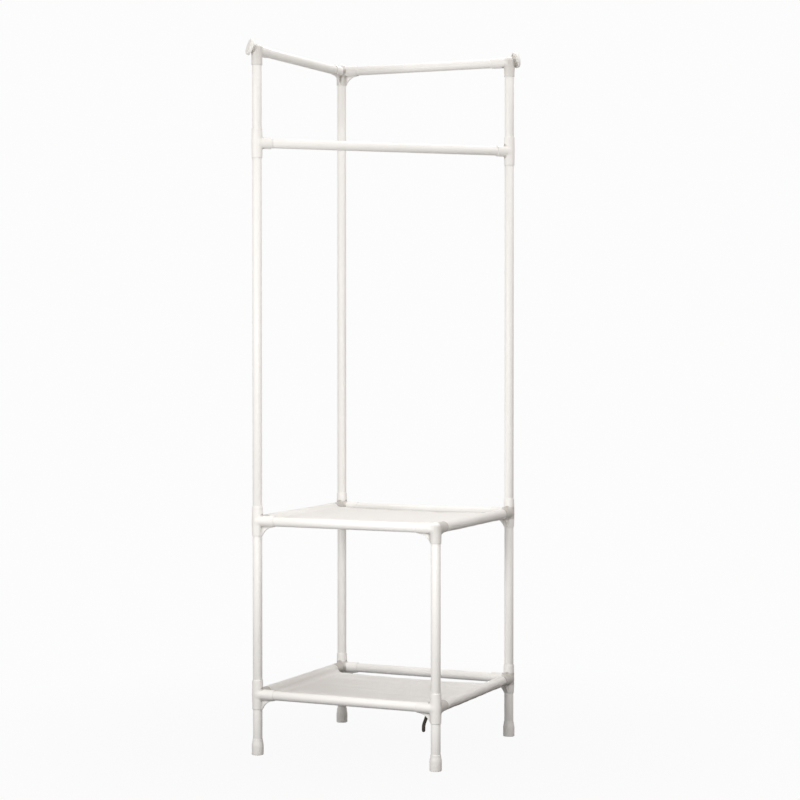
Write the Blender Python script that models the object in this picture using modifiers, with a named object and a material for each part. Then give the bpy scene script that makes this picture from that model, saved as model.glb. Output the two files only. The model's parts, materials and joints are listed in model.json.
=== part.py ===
"""White corner coat rack.

Painted steel tubes are pushed into moulded corner connectors. Four posts stand on
a square plan. The front post ends at the middle shelf, and the other three carry on
to two top rails and a hanging rail that runs from the left post to the right post.
Two cloth shelves are sleeved over the side rails of the lower and middle frames.

Units are metres, +Z is up, and the origin lies on the floor at the middle of the plan.
"""
import math

import bmesh
import bpy
from mathutils import Matrix, Quaternion, Vector

# Plan and heights of the tube axes
POST_SPACING = 0.450
LOW_RAIL_Z = 0.140
MID_RAIL_Z = 0.543
TOP_RAIL_Z = 1.632
HANG_RAIL_DROP = 0.214

# Tubes
TUBE_OD = 0.022
TUBE_WALL = 0.0008

# Fit between pieces that touch
FIT_GAP = 0.0003

# Connectors
SOCKET_WALL = 0.0015
TEE_SOCKET_WALL = 0.0022
BARREL_WALL = 0.0018
CORE_WALL = 0.0027
RAIL_INSERTION = 0.031
TEE_INSERTION = 0.020
POST_INSERTION = 0.020
MOUTH_CHAMFER = 0.0008
WEB_THICKNESS = 0.005
WEB_SETBACK = 0.001
WEB_HOLLOW = 0.006
TOP_DOME_RISE = 0.0145
BACK_DOME_RISE = 0.0195
DOME_DEPTH = 0.010

# Hat pegs on the two front ends of the top rails
PEG_TILT = math.radians(15.0)
PEG_RISE = 0.0025
PEG_BOSS_RADIUS = 0.008
PEG_SEAT_RISE = 0.0012
PEG_STEM_RADIUS = 0.0055
PEG_STEM_LENGTH = 0.010
PEG_HEAD_RADIUS = 0.020
PEG_HEAD_THICKNESS = 0.0065
PEG_HEAD_ROUND = 0.0018
PEG_HEAD_CROWN = 0.0010
PEG_RIM_WALL = 0.0024
PEG_RECESS_DEPTH = 0.004

# Feet
FOOT_HEIGHT = 0.036
FOOT_FLARE = 0.016
FOOT_LIP = 0.0007
FOOT_WALL = 0.0025
FOOT_SOLE = 0.004
FOOT_EDGE = 0.0012

# Cloth shelves, whose sheet leaves each sleeve at an angle below the rail's axis
CLOTH_THICKNESS = 0.0012
CLOTH_END_GAP = 0.002
CLOTH_SAG = 0.003
LOW_CLOTH_ANGLE = math.radians(40.0)
MID_CLOTH_ANGLE = math.radians(-14.0)

# Tie tape that hangs from the front hem of the lower cloth
TAPE_WIDTH = 0.0072
TAPE_THICKNESS = 0.0009
TAPE_LENGTH = 0.050
TAPE_LEAN = 0.008
TAPE_FROM_POST = 0.0425
TAPE_HEM_INSET = 0.002

# Facets of round pieces
SIDES = 16
DOME_STEPS = 4
WEB_STEPS = 5
CLOTH_STEPS = 12
SLEEVE_STEPS = 20
TAPE_STEPS = 6
MERGE_DISTANCE = 0.00001

# Sizes that follow from the ones above
HALF = POST_SPACING / 2
HANG_RAIL_Z = TOP_RAIL_Z - HANG_RAIL_DROP
TUBE_RADIUS = TUBE_OD / 2
BORE_RADIUS = TUBE_RADIUS + FIT_GAP
SOCKET_RADIUS = BORE_RADIUS + SOCKET_WALL
TEE_SOCKET_RADIUS = BORE_RADIUS + TEE_SOCKET_WALL
BARREL_RADIUS = BORE_RADIUS + BARREL_WALL
CORE_HALF = BORE_RADIUS + CORE_WALL
SOCKET_REACH = CORE_HALF + RAIL_INSERTION
TEE_SOCKET_REACH = CORE_HALF + TEE_INSERTION
BARREL_REACH = CORE_HALF + POST_INSERTION
TUBE_STOP = CORE_HALF + FIT_GAP
PEG_SEAT = BARREL_RADIUS + PEG_SEAT_RISE
SLEEVE_BORE = TUBE_RADIUS + FIT_GAP
SLEEVE_MIDDLE = SLEEVE_BORE + CLOTH_THICKNESS / 2
SLEEVE_RADIUS = SLEEVE_BORE + CLOTH_THICKNESS
CLOTH_HALF_LENGTH = HALF - SOCKET_REACH - CLOTH_END_GAP

CORNERS = {
    "left": Vector((-HALF, -HALF, 0.0)),
    "right": Vector((HALF, HALF, 0.0)),
    "back": Vector((-HALF, HALF, 0.0)),
    "front": Vector((HALF, -HALF, 0.0)),
}

# Rails, each between two corners: a square frame, the two top rails and the hanging rail
FRAME_RAILS = {
    "left": ("left", "back"),
    "right": ("front", "right"),
    "front": ("left", "front"),
    "back": ("back", "right"),
}
TOP_RAILS = {side: FRAME_RAILS[side] for side in ("left", "back")}
HANGING_RAIL = {"hanging": ("left", "right")}

# Heights of the connectors that cut each post into lengths, and the names of those lengths
POST_STOPS = {
    "left": (LOW_RAIL_Z, MID_RAIL_Z, HANG_RAIL_Z, TOP_RAIL_Z),
    "right": (LOW_RAIL_Z, MID_RAIL_Z, HANG_RAIL_Z, TOP_RAIL_Z),
    "back": (LOW_RAIL_Z, MID_RAIL_Z, TOP_RAIL_Z),
    "front": (LOW_RAIL_Z, MID_RAIL_Z),
}
POST_LENGTHS = ("lower", "upper", "top")


def clear_scene():
    """Remove every object of the scene."""
    for obj in list(bpy.data.objects):
        bpy.data.objects.remove(obj, do_unlink=True)


def new_collection(name):
    """Make a collection under the scene's own."""
    collection = bpy.data.collections.new(name)
    bpy.context.scene.collection.children.link(collection)
    return collection


def new_material(name, colour, roughness, metallic=0.0):
    """Make a plain Principled material."""
    material = bpy.data.materials.new(name)
    material.use_nodes = True
    shader = material.node_tree.nodes["Principled BSDF"]
    shader.inputs["Base Color"].default_value = (*colour, 1.0)
    shader.inputs["Roughness"].default_value = roughness
    shader.inputs["Metallic"].default_value = metallic
    return material


clear_scene()
PARTS = new_collection("corner_coat_rack")
CUTTERS = new_collection("cutters")
RACK = bpy.data.objects.new("rack_origin", None)
PARTS.objects.link(RACK)

WHITE_PAINT = new_material("white_paint", (0.86, 0.84, 0.80), 0.35)
WHITE_PLASTIC = new_material("white_plastic", (0.80, 0.77, 0.72), 0.45)
SHELF_CLOTH = new_material("shelf_cloth", (0.78, 0.75, 0.70), 0.9)
DARK_TAPE = new_material("dark_tape", (0.05, 0.04, 0.035), 0.85)


def add_part(obj, material):
    """Put an object among the rack's parts, with its material."""
    PARTS.objects.link(obj)
    obj.parent = RACK
    obj.data.materials.append(material)
    return obj


def add_tool(obj):
    """Put an object among the shapes that are joined to a part or cut from it."""
    CUTTERS.objects.link(obj)
    obj.hide_render = True
    obj.display_type = "WIRE"
    return obj


def aim(obj, origin, direction, roll=0.0):
    """Place an object at origin, with its own Z along direction, rolled about it."""
    obj.location = origin
    obj.rotation_mode = "QUATERNION"
    obj.rotation_quaternion = direction.to_track_quat("Z", "Y") @ Quaternion((0.0, 0.0, 1.0), roll)


def heading(turn, tilt=0.0):
    """Unit vector at an angle about Z from +X, tilted up."""
    return Vector((math.cos(turn) * math.cos(tilt), math.sin(turn) * math.cos(tilt), math.sin(tilt)))


def combine(target, tool, operation):
    """Join a tool to a part, or cut it away."""
    boolean = target.modifiers.new(tool.name, "BOOLEAN")
    boolean.operation = operation
    boolean.object = tool


def turned(name, profile):
    """Body of revolution about Z from (radius, height) points that run down its outer side."""
    mesh = bpy.data.meshes.new(name)
    points = [(radius, 0.0, height) for radius, height in profile]
    edges = [(i, i + 1) for i in range(len(points) - 1)]
    mesh.from_pydata(points, edges, [])
    obj = bpy.data.objects.new(name, mesh)
    screw = obj.modifiers.new("turn", "SCREW")
    screw.steps = SIDES
    screw.render_steps = SIDES
    screw.use_merge_vertices = True
    screw.merge_threshold = MERGE_DISTANCE
    screw.use_smooth_shade = True
    return obj


def rod(name, radius, start, end):
    """Plain round bar from start to end along Z."""
    return turned(name, [(0.0, end), (radius, end), (radius, start), (0.0, start)])


def outline_mesh(name, points, thickness, holes=()):
    """Flat plate from an outline in its own XY plane, centred on that plane."""
    curve = bpy.data.curves.new(name, "CURVE")
    curve.dimensions = "2D"
    curve.fill_mode = "BOTH"
    curve.extrude = thickness / 2
    for loop in (points, *holes):
        spline = curve.splines.new("POLY")
        spline.points.add(len(loop) - 1)
        spline.use_cyclic_u = True
        for point, (x, y) in zip(spline.points, loop):
            point.co = (x, y, 0.0, 1.0)
    holder = bpy.data.objects.new(name, curve)
    CUTTERS.objects.link(holder)
    depsgraph = bpy.context.evaluated_depsgraph_get()
    mesh = bpy.data.meshes.new_from_object(holder.evaluated_get(depsgraph))
    bpy.data.objects.remove(holder)
    bpy.data.curves.remove(curve)
    welded = bmesh.new()
    welded.from_mesh(mesh)
    bmesh.ops.remove_doubles(welded, verts=welded.verts, dist=MERGE_DISTANCE)
    bmesh.ops.recalc_face_normals(welded, faces=welded.faces)
    welded.to_mesh(mesh)
    welded.free()
    mesh.name = name
    return mesh


def arc(centre, radius, first, last, steps):
    """Points of a circle's arc, both ends included."""
    turns = [first + (last - first) * i / steps for i in range(steps + 1)]
    return [(centre[0] + radius * math.cos(t), centre[1] + radius * math.sin(t)) for t in turns]


def at(corner, height):
    """Point on a post's axis."""
    return CORNERS[corner] + Vector((0.0, 0.0, height))


# Tubes

def make_tube(name, start, end):
    """Hollow tube between two points on its axis."""
    span = end - start
    bpy.ops.mesh.primitive_cylinder_add(
        vertices=SIDES, radius=TUBE_RADIUS, depth=span.length, end_fill_type="NOTHING")
    obj = bpy.context.object
    obj.name = name
    obj.data.name = name
    for collection in list(obj.users_collection):
        collection.objects.unlink(obj)
    aim(obj, (start + end) / 2, span.normalized())
    obj.data.shade_smooth()
    wall = obj.modifiers.new("wall", "SOLIDIFY")
    wall.thickness = TUBE_WALL
    wall.offset = -1.0
    add_part(obj, WHITE_PAINT)


def make_rail(name, first, second):
    """Tube between the cores of two connectors."""
    step = (second - first).normalized() * TUBE_STOP
    make_tube(name, first + step, second - step)


def make_posts():
    """The four posts, each cut into lengths at the connectors that it passes."""
    for corner, stops in POST_STOPS.items():
        make_tube(f"post_{corner}_leg", at(corner, FOOT_SOLE + FIT_GAP), at(corner, LOW_RAIL_Z - TUBE_STOP))
        for length, bottom, top in zip(POST_LENGTHS, stops, stops[1:]):
            make_rail(f"post_{corner}_{length}", at(corner, bottom), at(corner, top))


def make_rails():
    """The rails of both shelf frames, the two top rails and the hanging rail."""
    levels = (("low", LOW_RAIL_Z, FRAME_RAILS), ("mid", MID_RAIL_Z, FRAME_RAILS), ("top", TOP_RAIL_Z, TOP_RAILS))
    for level, height, rails in levels:
        for side, (first, second) in rails.items():
            make_rail(f"{level}_rail_{side}", at(first, height), at(second, height))
    make_rail("hanging_rail", at("left", HANG_RAIL_Z), at("right", HANG_RAIL_Z))


# Connectors

def barrel_profile(dome_rise):
    """Outer shape of the upright part: a socket mouth below, and above a mouth or a dome."""
    mouth = BARREL_RADIUS - MOUTH_CHAMFER
    below = [(BARREL_RADIUS, -BARREL_REACH + MOUTH_CHAMFER), (mouth, -BARREL_REACH), (0.0, -BARREL_REACH)]
    if dome_rise is None:
        above = [(0.0, BARREL_REACH), (mouth, BARREL_REACH), (BARREL_RADIUS, BARREL_REACH - MOUTH_CHAMFER)]
        return above + below
    dome = [(0.0, dome_rise)]
    for i in range(1, DOME_STEPS + 1):
        turn = math.pi / 2 * (1 - i / DOME_STEPS)
        dome.append((BARREL_RADIUS * math.cos(turn), dome_rise - DOME_DEPTH * (1 - math.sin(turn))))
    return dome + below


def socket_profile(radius, reach):
    """Outer shape of a rail socket, from its mouth back to the post's axis."""
    return [(0.0, reach), (radius - MOUTH_CHAMFER, reach), (radius, reach - MOUTH_CHAMFER), (radius, 0.0), (0.0, 0.0)]


def web_outline():
    """Web under a socket: X runs along the rail and Y up, from the crossing of the axes."""
    out = SOCKET_REACH - WEB_SETBACK
    down = -(BARREL_REACH - WEB_SETBACK)
    high = -SOCKET_RADIUS + SOCKET_WALL / 2
    near = BARREL_RADIUS - BARREL_WALL / 2
    start = Vector((out, -SOCKET_RADIUS))
    end = Vector((BARREL_RADIUS, down))
    bend = (start + end) / 2 + Vector((-1.0, 1.0)) * WEB_HOLLOW
    edge = []
    for i in range(WEB_STEPS + 1):
        t = i / WEB_STEPS
        point = start * (1 - t) ** 2 + bend * 2 * t * (1 - t) + end * t ** 2
        edge.append((point.x, point.y))
    return [(near, high), (out, high)] + edge + [(near, down)]


def start_connector(name, centre, dome_rise=None):
    """The upright barrel of a connector, placed where the tube axes cross."""
    body = add_part(turned(name, barrel_profile(dome_rise)), WHITE_PLASTIC)
    body.location = centre
    return body


def add_socket(body, centre, turn, radius, reach, roll=0.0):
    """Join a rail socket to a connector."""
    socket = add_tool(turned(f"{body.name}_socket", socket_profile(radius, reach)))
    aim(socket, centre, heading(turn), roll)
    combine(body, socket, "UNION")


def add_web(body, centre, turn):
    """Join the web that braces a rail socket from below."""
    plate = outline_mesh(f"{body.name}_web", web_outline(), WEB_THICKNESS)
    web = add_tool(bpy.data.objects.new(plate.name, plate))
    upright = Matrix.Rotation(turn, 4, "Z") @ Matrix.Rotation(math.pi / 2, 4, "X")
    web.matrix_world = Matrix.Translation(centre) @ upright
    combine(body, web, "UNION")


def cut_bore(body, centre, direction):
    """Bore a connector for a tube that stops at its core."""
    bore = add_tool(rod(f"{body.name}_bore", BORE_RADIUS, CORE_HALF, SOCKET_REACH + RAIL_INSERTION))
    aim(bore, centre, direction)
    combine(body, bore, "DIFFERENCE")


def bore_post(body, centre, opens_up):
    """Bore a barrel for the post below and, if it is open, for the post above."""
    cut_bore(body, centre, Vector((0.0, 0.0, -1.0)))
    if opens_up:
        cut_bore(body, centre, Vector((0.0, 0.0, 1.0)))


def make_corner(name, centre, rail_turns, dome_rise=None):
    """Connector of two rails at a right angle, each braced by a web."""
    body = start_connector(name, centre, dome_rise)
    for i, turn in enumerate(rail_turns):
        add_socket(body, centre, turn, SOCKET_RADIUS, SOCKET_REACH, roll=i * math.pi / SIDES)
        add_web(body, centre, turn)
    bore_post(body, centre, opens_up=dome_rise is None)
    for turn in rail_turns:
        cut_bore(body, centre, heading(turn))


def make_tee(name, centre, turn):
    """Connector that carries one end of the hanging rail on a post that passes it."""
    body = start_connector(name, centre)
    add_socket(body, centre, turn, TEE_SOCKET_RADIUS, TEE_SOCKET_REACH)
    bore_post(body, centre, opens_up=True)
    cut_bore(body, centre, heading(turn))


def make_end(name, centre, turn, peg_turn):
    """Connector at the front end of a top rail, with a boss for a hat peg."""
    body = start_connector(name, centre, TOP_DOME_RISE)
    add_socket(body, centre, turn, SOCKET_RADIUS, SOCKET_REACH)
    bore_post(body, centre, opens_up=False)
    cut_bore(body, centre, heading(turn))
    stem_end = PEG_SEAT - PEG_STEM_LENGTH
    boss = add_tool(rod(f"{name}_boss", PEG_BOSS_RADIUS, stem_end, PEG_SEAT))
    hole = add_tool(rod(f"{name}_hole", PEG_STEM_RADIUS + FIT_GAP, stem_end - FIT_GAP, PEG_SEAT + PEG_STEM_LENGTH))
    for tool, operation in ((boss, "UNION"), (hole, "DIFFERENCE")):
        aim_peg(tool, centre, peg_turn)
        combine(body, tool, operation)


def aim_peg(obj, centre, turn):
    """Place a shape on the axis of a hat peg."""
    aim(obj, centre + Vector((0.0, 0.0, PEG_RISE)), heading(turn, PEG_TILT))


def make_peg(name, centre, turn):
    """Round-headed peg, hollow behind its rim, whose stem plugs into the boss of a top connector."""
    under = PEG_SEAT + FIT_GAP
    rim = under + PEG_HEAD_THICKNESS
    flat = PEG_HEAD_RADIUS - PEG_HEAD_ROUND
    hollow = PEG_HEAD_RADIUS - PEG_RIM_WALL
    profile = [
        (0.0, rim + PEG_HEAD_CROWN),
        (flat / 2, rim + PEG_HEAD_CROWN * 3 / 4),
        (flat, rim),
        (PEG_HEAD_RADIUS, rim - PEG_HEAD_ROUND),
        (PEG_HEAD_RADIUS, under),
        (hollow, under),
        (hollow, under + PEG_RECESS_DEPTH),
        (PEG_BOSS_RADIUS, under + PEG_RECESS_DEPTH),
        (PEG_BOSS_RADIUS, under),
        (PEG_STEM_RADIUS, under),
        (PEG_STEM_RADIUS, PEG_SEAT - PEG_STEM_LENGTH),
        (0.0, PEG_SEAT - PEG_STEM_LENGTH),
    ]
    aim_peg(add_part(turned(name, profile), WHITE_PLASTIC), centre, turn)


def rail_turns_at(corner, rails):
    """Headings of the rails that leave a corner."""
    turns = []
    for first, second in rails.values():
        if corner in (first, second):
            other = second if corner == first else first
            way = CORNERS[other] - CORNERS[corner]
            turns.append(math.atan2(way.y, way.x))
    return turns


def make_connectors():
    """The connectors of both shelf frames, of the hanging rail and of the top rails, with the pegs."""
    for corner in CORNERS:
        turns = rail_turns_at(corner, FRAME_RAILS)
        make_corner(f"low_connector_{corner}", at(corner, LOW_RAIL_Z), turns)
        closed = TOP_DOME_RISE if corner == "front" else None
        make_corner(f"mid_connector_{corner}", at(corner, MID_RAIL_Z), turns, closed)
    for corner in ("left", "right"):
        (hang_turn,) = rail_turns_at(corner, HANGING_RAIL)
        (top_turn,) = rail_turns_at(corner, TOP_RAILS)
        peg_turn = hang_turn + math.pi
        make_tee(f"hang_connector_{corner}", at(corner, HANG_RAIL_Z), hang_turn)
        make_end(f"top_connector_{corner}", at(corner, TOP_RAIL_Z), top_turn, peg_turn)
        make_peg(f"hat_peg_{corner}", at(corner, TOP_RAIL_Z), peg_turn)
    make_corner("top_connector_back", at("back", TOP_RAIL_Z), rail_turns_at("back", TOP_RAILS), BACK_DOME_RISE)


# Feet

def make_feet():
    """Bell-shaped caps, one over the lower end of each leg."""
    lip = BORE_RADIUS + FOOT_LIP
    widest = BORE_RADIUS + FOOT_WALL
    profile = [(0.0, FOOT_SOLE), (BORE_RADIUS, FOOT_SOLE), (BORE_RADIUS, FOOT_HEIGHT)]
    for i in range(DOME_STEPS + 1):
        share = i / DOME_STEPS
        swell = (1 - math.cos(math.pi * share)) / 2
        profile.append((lip + (widest - lip) * swell, FOOT_HEIGHT - FOOT_FLARE * share))
    profile += [(widest, FOOT_EDGE), (widest - FOOT_EDGE, 0.0), (0.0, 0.0)]
    for corner, place in CORNERS.items():
        foot = add_part(turned(f"foot_{corner}", profile), WHITE_PLASTIC)
        foot.location = place


# Cloth shelves

def sheet_height(x, angle):
    """Height of the sheet's middle over the rail axes, at a distance x from the shelf's middle."""
    edge = HALF - SLEEVE_MIDDLE * math.cos(angle)
    return -SLEEVE_MIDDLE * math.sin(angle) - CLOTH_SAG * (1 - (x / edge) ** 2)


def make_cloth(name, rail_height, angle):
    """Cloth with a sleeve round each side rail and a slightly sagging sheet between the sleeves."""
    half_thick = CLOTH_THICKNESS / 2
    rise = -SLEEVE_MIDDLE * math.sin(angle)
    upper = math.asin((rise + half_thick) / SLEEVE_RADIUS)
    lower = math.asin((rise - half_thick) / SLEEVE_RADIUS)
    reach = HALF - SLEEVE_RADIUS * math.cos(upper)
    spans = [reach * (2 * i / CLOTH_STEPS - 1) for i in range(1, CLOTH_STEPS)]
    top = [(x, sheet_height(x, angle) + half_thick) for x in spans]
    bottom = [(x, sheet_height(x, angle) - half_thick) for x in reversed(spans)]
    right = arc((HALF, 0.0), SLEEVE_RADIUS, math.pi - upper, -math.pi - lower, SLEEVE_STEPS)
    left = arc((-HALF, 0.0), SLEEVE_RADIUS, lower, -2 * math.pi + upper, SLEEVE_STEPS)
    holes = []
    for side in (-HALF, HALF):
        holes.append(arc((side, 0.0), SLEEVE_BORE, 0.0, 2 * math.pi * (1 - 1 / SLEEVE_STEPS), SLEEVE_STEPS - 1))
    mesh = outline_mesh(name, top + right + bottom + left, 2 * CLOTH_HALF_LENGTH, holes)
    cloth = add_part(bpy.data.objects.new(name, mesh), SHELF_CLOTH)
    cloth.matrix_basis = Matrix.Translation((0.0, 0.0, rail_height)) @ Matrix.Rotation(math.pi / 2, 4, "X")


def make_tie_tape():
    """Short tape sewn under the front hem of the lower cloth, with its tail hanging free."""
    middle = HALF - TAPE_FROM_POST
    half_wide = TAPE_WIDTH / 2
    lowest = sheet_height(middle - half_wide, LOW_CLOTH_ANGLE)
    top = lowest - CLOTH_THICKNESS / 2 - FIT_GAP
    near_edge = []
    far_edge = []
    for i in range(TAPE_STEPS + 1):
        share = i / TAPE_STEPS
        x = middle - TAPE_LEAN * share ** 2
        z = top - TAPE_LENGTH * share
        near_edge.append((x + half_wide, z))
        far_edge.append((x - half_wide, z))
    tip = arc((middle - TAPE_LEAN, top - TAPE_LENGTH), half_wide, 0.0, -math.pi, TAPE_STEPS)
    mesh = outline_mesh("hem_tie_tape", near_edge + tip[1:-1] + far_edge[::-1], TAPE_THICKNESS)
    tape = add_part(bpy.data.objects.new("hem_tie_tape", mesh), DARK_TAPE)
    hem = -CLOTH_HALF_LENGTH + TAPE_HEM_INSET
    tape.matrix_basis = Matrix.Translation((0.0, hem, LOW_RAIL_Z)) @ Matrix.Rotation(math.pi / 2, 4, "X")


def main():
    """Build the rack from the floor up."""
    make_feet()
    make_posts()
    make_rails()
    make_connectors()
    make_cloth("low_shelf_cloth", LOW_RAIL_Z, LOW_CLOTH_ANGLE)
    make_cloth("mid_shelf_cloth", MID_RAIL_Z, MID_CLOTH_ANGLE)
    make_tie_tape()


main()
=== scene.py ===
"""Looks of a white corner coat rack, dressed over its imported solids.

Painted tubes, moulded connectors, feet and hat pegs, two sleeved cloth shelves and a tie
tape replace the plain solids, at the places and sizes that the frame gives.
Units are metres and +Z is up.
"""
import json
import logging
import math
from dataclasses import dataclass, field
from enum import Enum
from typing import Any, Callable, Sequence

import bmesh
import bpy
import numpy as np
from bpy.types import Material, Mesh, Node, NodeSocket, NodeTree, Object
from mathutils import Matrix, Vector

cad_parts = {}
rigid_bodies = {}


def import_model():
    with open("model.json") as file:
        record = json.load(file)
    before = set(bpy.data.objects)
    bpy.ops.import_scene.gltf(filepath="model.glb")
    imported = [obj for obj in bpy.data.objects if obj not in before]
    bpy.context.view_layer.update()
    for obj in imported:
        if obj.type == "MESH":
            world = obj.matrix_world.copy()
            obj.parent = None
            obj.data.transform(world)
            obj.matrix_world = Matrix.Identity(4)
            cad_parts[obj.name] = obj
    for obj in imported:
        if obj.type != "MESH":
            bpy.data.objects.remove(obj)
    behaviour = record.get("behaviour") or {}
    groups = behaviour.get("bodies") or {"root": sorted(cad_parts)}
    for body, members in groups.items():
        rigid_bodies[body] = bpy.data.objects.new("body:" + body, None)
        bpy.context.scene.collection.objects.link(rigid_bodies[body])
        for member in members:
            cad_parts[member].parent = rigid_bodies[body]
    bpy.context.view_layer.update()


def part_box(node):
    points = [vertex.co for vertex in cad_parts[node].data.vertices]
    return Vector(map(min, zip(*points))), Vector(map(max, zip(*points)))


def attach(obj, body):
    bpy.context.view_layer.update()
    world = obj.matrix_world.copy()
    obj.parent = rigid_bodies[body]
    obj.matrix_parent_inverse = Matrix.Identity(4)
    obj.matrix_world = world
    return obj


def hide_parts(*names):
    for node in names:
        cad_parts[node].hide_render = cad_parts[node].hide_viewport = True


LOG = logging.getLogger("coat_rack")
BODY = "root"
CLOTH_UV = "cloth"
# Point attribute that carries the connectors' painted shade in creases, recesses and beside the sleeves
PAINTED_SHADE = "nook"
UP = Vector((0.0, 0.0, 1.0))
DOWN = Vector((0.0, 0.0, -1.0))
QUARTER = math.pi / 2

# Sizes that several sub-assemblies share
FIT_GAP = 0.0001
PEG_TILT = math.radians(15.0)
PEG_RISE = 0.0025
LOW_CLOTH_LEAVES = math.radians(40.0)
MID_CLOTH_LEAVES = math.radians(-14.0)

# Accuracy of the meshes
MERGE_DISTANCE = 1e-6
MARGIN_CELLS = 2
SETTLE_ROUNDS = 3
SLOPE_STEP = 0.1
LEAST_SLOPE = 0.1

Shape = Callable[[np.ndarray], np.ndarray]
Triple = tuple[float, float, float]
Place = Triple
Colour = Triple
Profile = list[tuple[float, float]]
Skin = tuple[np.ndarray, np.ndarray, np.ndarray]
Sockets = dict[str, str]


class Slot(Enum):
    """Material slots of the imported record."""

    PAINT = "white_paint"
    PLASTIC = "white_plastic"
    CLOTH = "shelf_cloth"
    TAPE = "dark_tape"


class Corner(Enum):
    """The four corners of the plan, each with the quarter turns from the left one."""

    LEFT = 0
    FRONT = 1
    RIGHT = 2
    BACK = 3

    @property
    def word(self) -> str:
        """The corner's name as it stands in the frame's nodes."""
        return self.name.lower()

    @property
    def turn(self) -> float:
        """Turn about the upright axis from the left corner."""
        return self.value * QUARTER


# Node trees


class Sketch:
    """A node tree, and short ways to add to it."""

    def __init__(self, tree: NodeTree) -> None:
        """Take the tree that is added to."""
        self.tree = tree

    def feed(self, node: Node, inputs: dict) -> None:
        """Link a node's inputs to sockets, or set their plain values.

        Args:
            node: The node that is fed.
            inputs: Values or sockets, by the input's name or number.
        """
        for name, value in inputs.items():
            if isinstance(value, NodeSocket):
                self.tree.links.new(value, node.inputs[name])
            else:
                node.inputs[name].default_value = value

    def add(self, kind: str, inputs: dict | None = None, **settings: Any) -> Node:
        """Add a node.

        Args:
            kind: Blender's name for the kind of node.
            inputs: Values or sockets to feed in, by the input's name or number.
            settings: Properties of the node itself.

        Returns:
            The new node.
        """
        node = self.tree.nodes.new(kind)
        for name, value in settings.items():
            setattr(node, name, value)
        self.feed(node, inputs or {})
        return node

    def sum(self, operation: str, first: Any, second: Any = 0.0) -> NodeSocket:
        """Result of one Math node."""
        return self.add("ShaderNodeMath", {0: first, 1: second}, operation=operation).outputs[0]

    def mix(self, share: Any, first: Any, second: Any) -> NodeSocket:
        """Result of mixing two colours."""
        return self.add("ShaderNodeMix", {0: share, 6: first, 7: second}, data_type="RGBA").outputs[2]

    def blend(self, share: Any, first: Any, second: Any) -> NodeSocket:
        """Result of mixing two numbers."""
        return self.add("ShaderNodeMix", {0: share, 2: first, 3: second}, data_type="FLOAT").outputs[0]

    def span(self, value: Any, low: float, high: float, first: Any, last: Any) -> NodeSocket:
        """Result of moving a number from one range to another, held within it."""
        inputs = {0: value, 1: low, 2: high, 3: first, 4: last}
        return self.add("ShaderNodeMapRange", inputs).outputs[0]


def new_group(name: str, kind: str, inputs: Sockets, outputs: Sockets) -> tuple[Sketch, Any, Node]:
    """Start a node group.

    Args:
        name: The group's name.
        kind: ShaderNodeTree or GeometryNodeTree.
        inputs: Socket kind of each named input.
        outputs: Socket kind of each named output.

    Returns:
        The group's sketch, the sockets that its inputs give, and its output node.
    """
    tree = bpy.data.node_groups.new(name, kind)
    for way, sockets in (("INPUT", inputs), ("OUTPUT", outputs)):
        for label, socket in sockets.items():
            tree.interface.new_socket(label, in_out=way, socket_type=f"NodeSocket{socket}")
    sketch = Sketch(tree)
    return sketch, sketch.add("NodeGroupInput").outputs, sketch.add("NodeGroupOutput")


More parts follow.
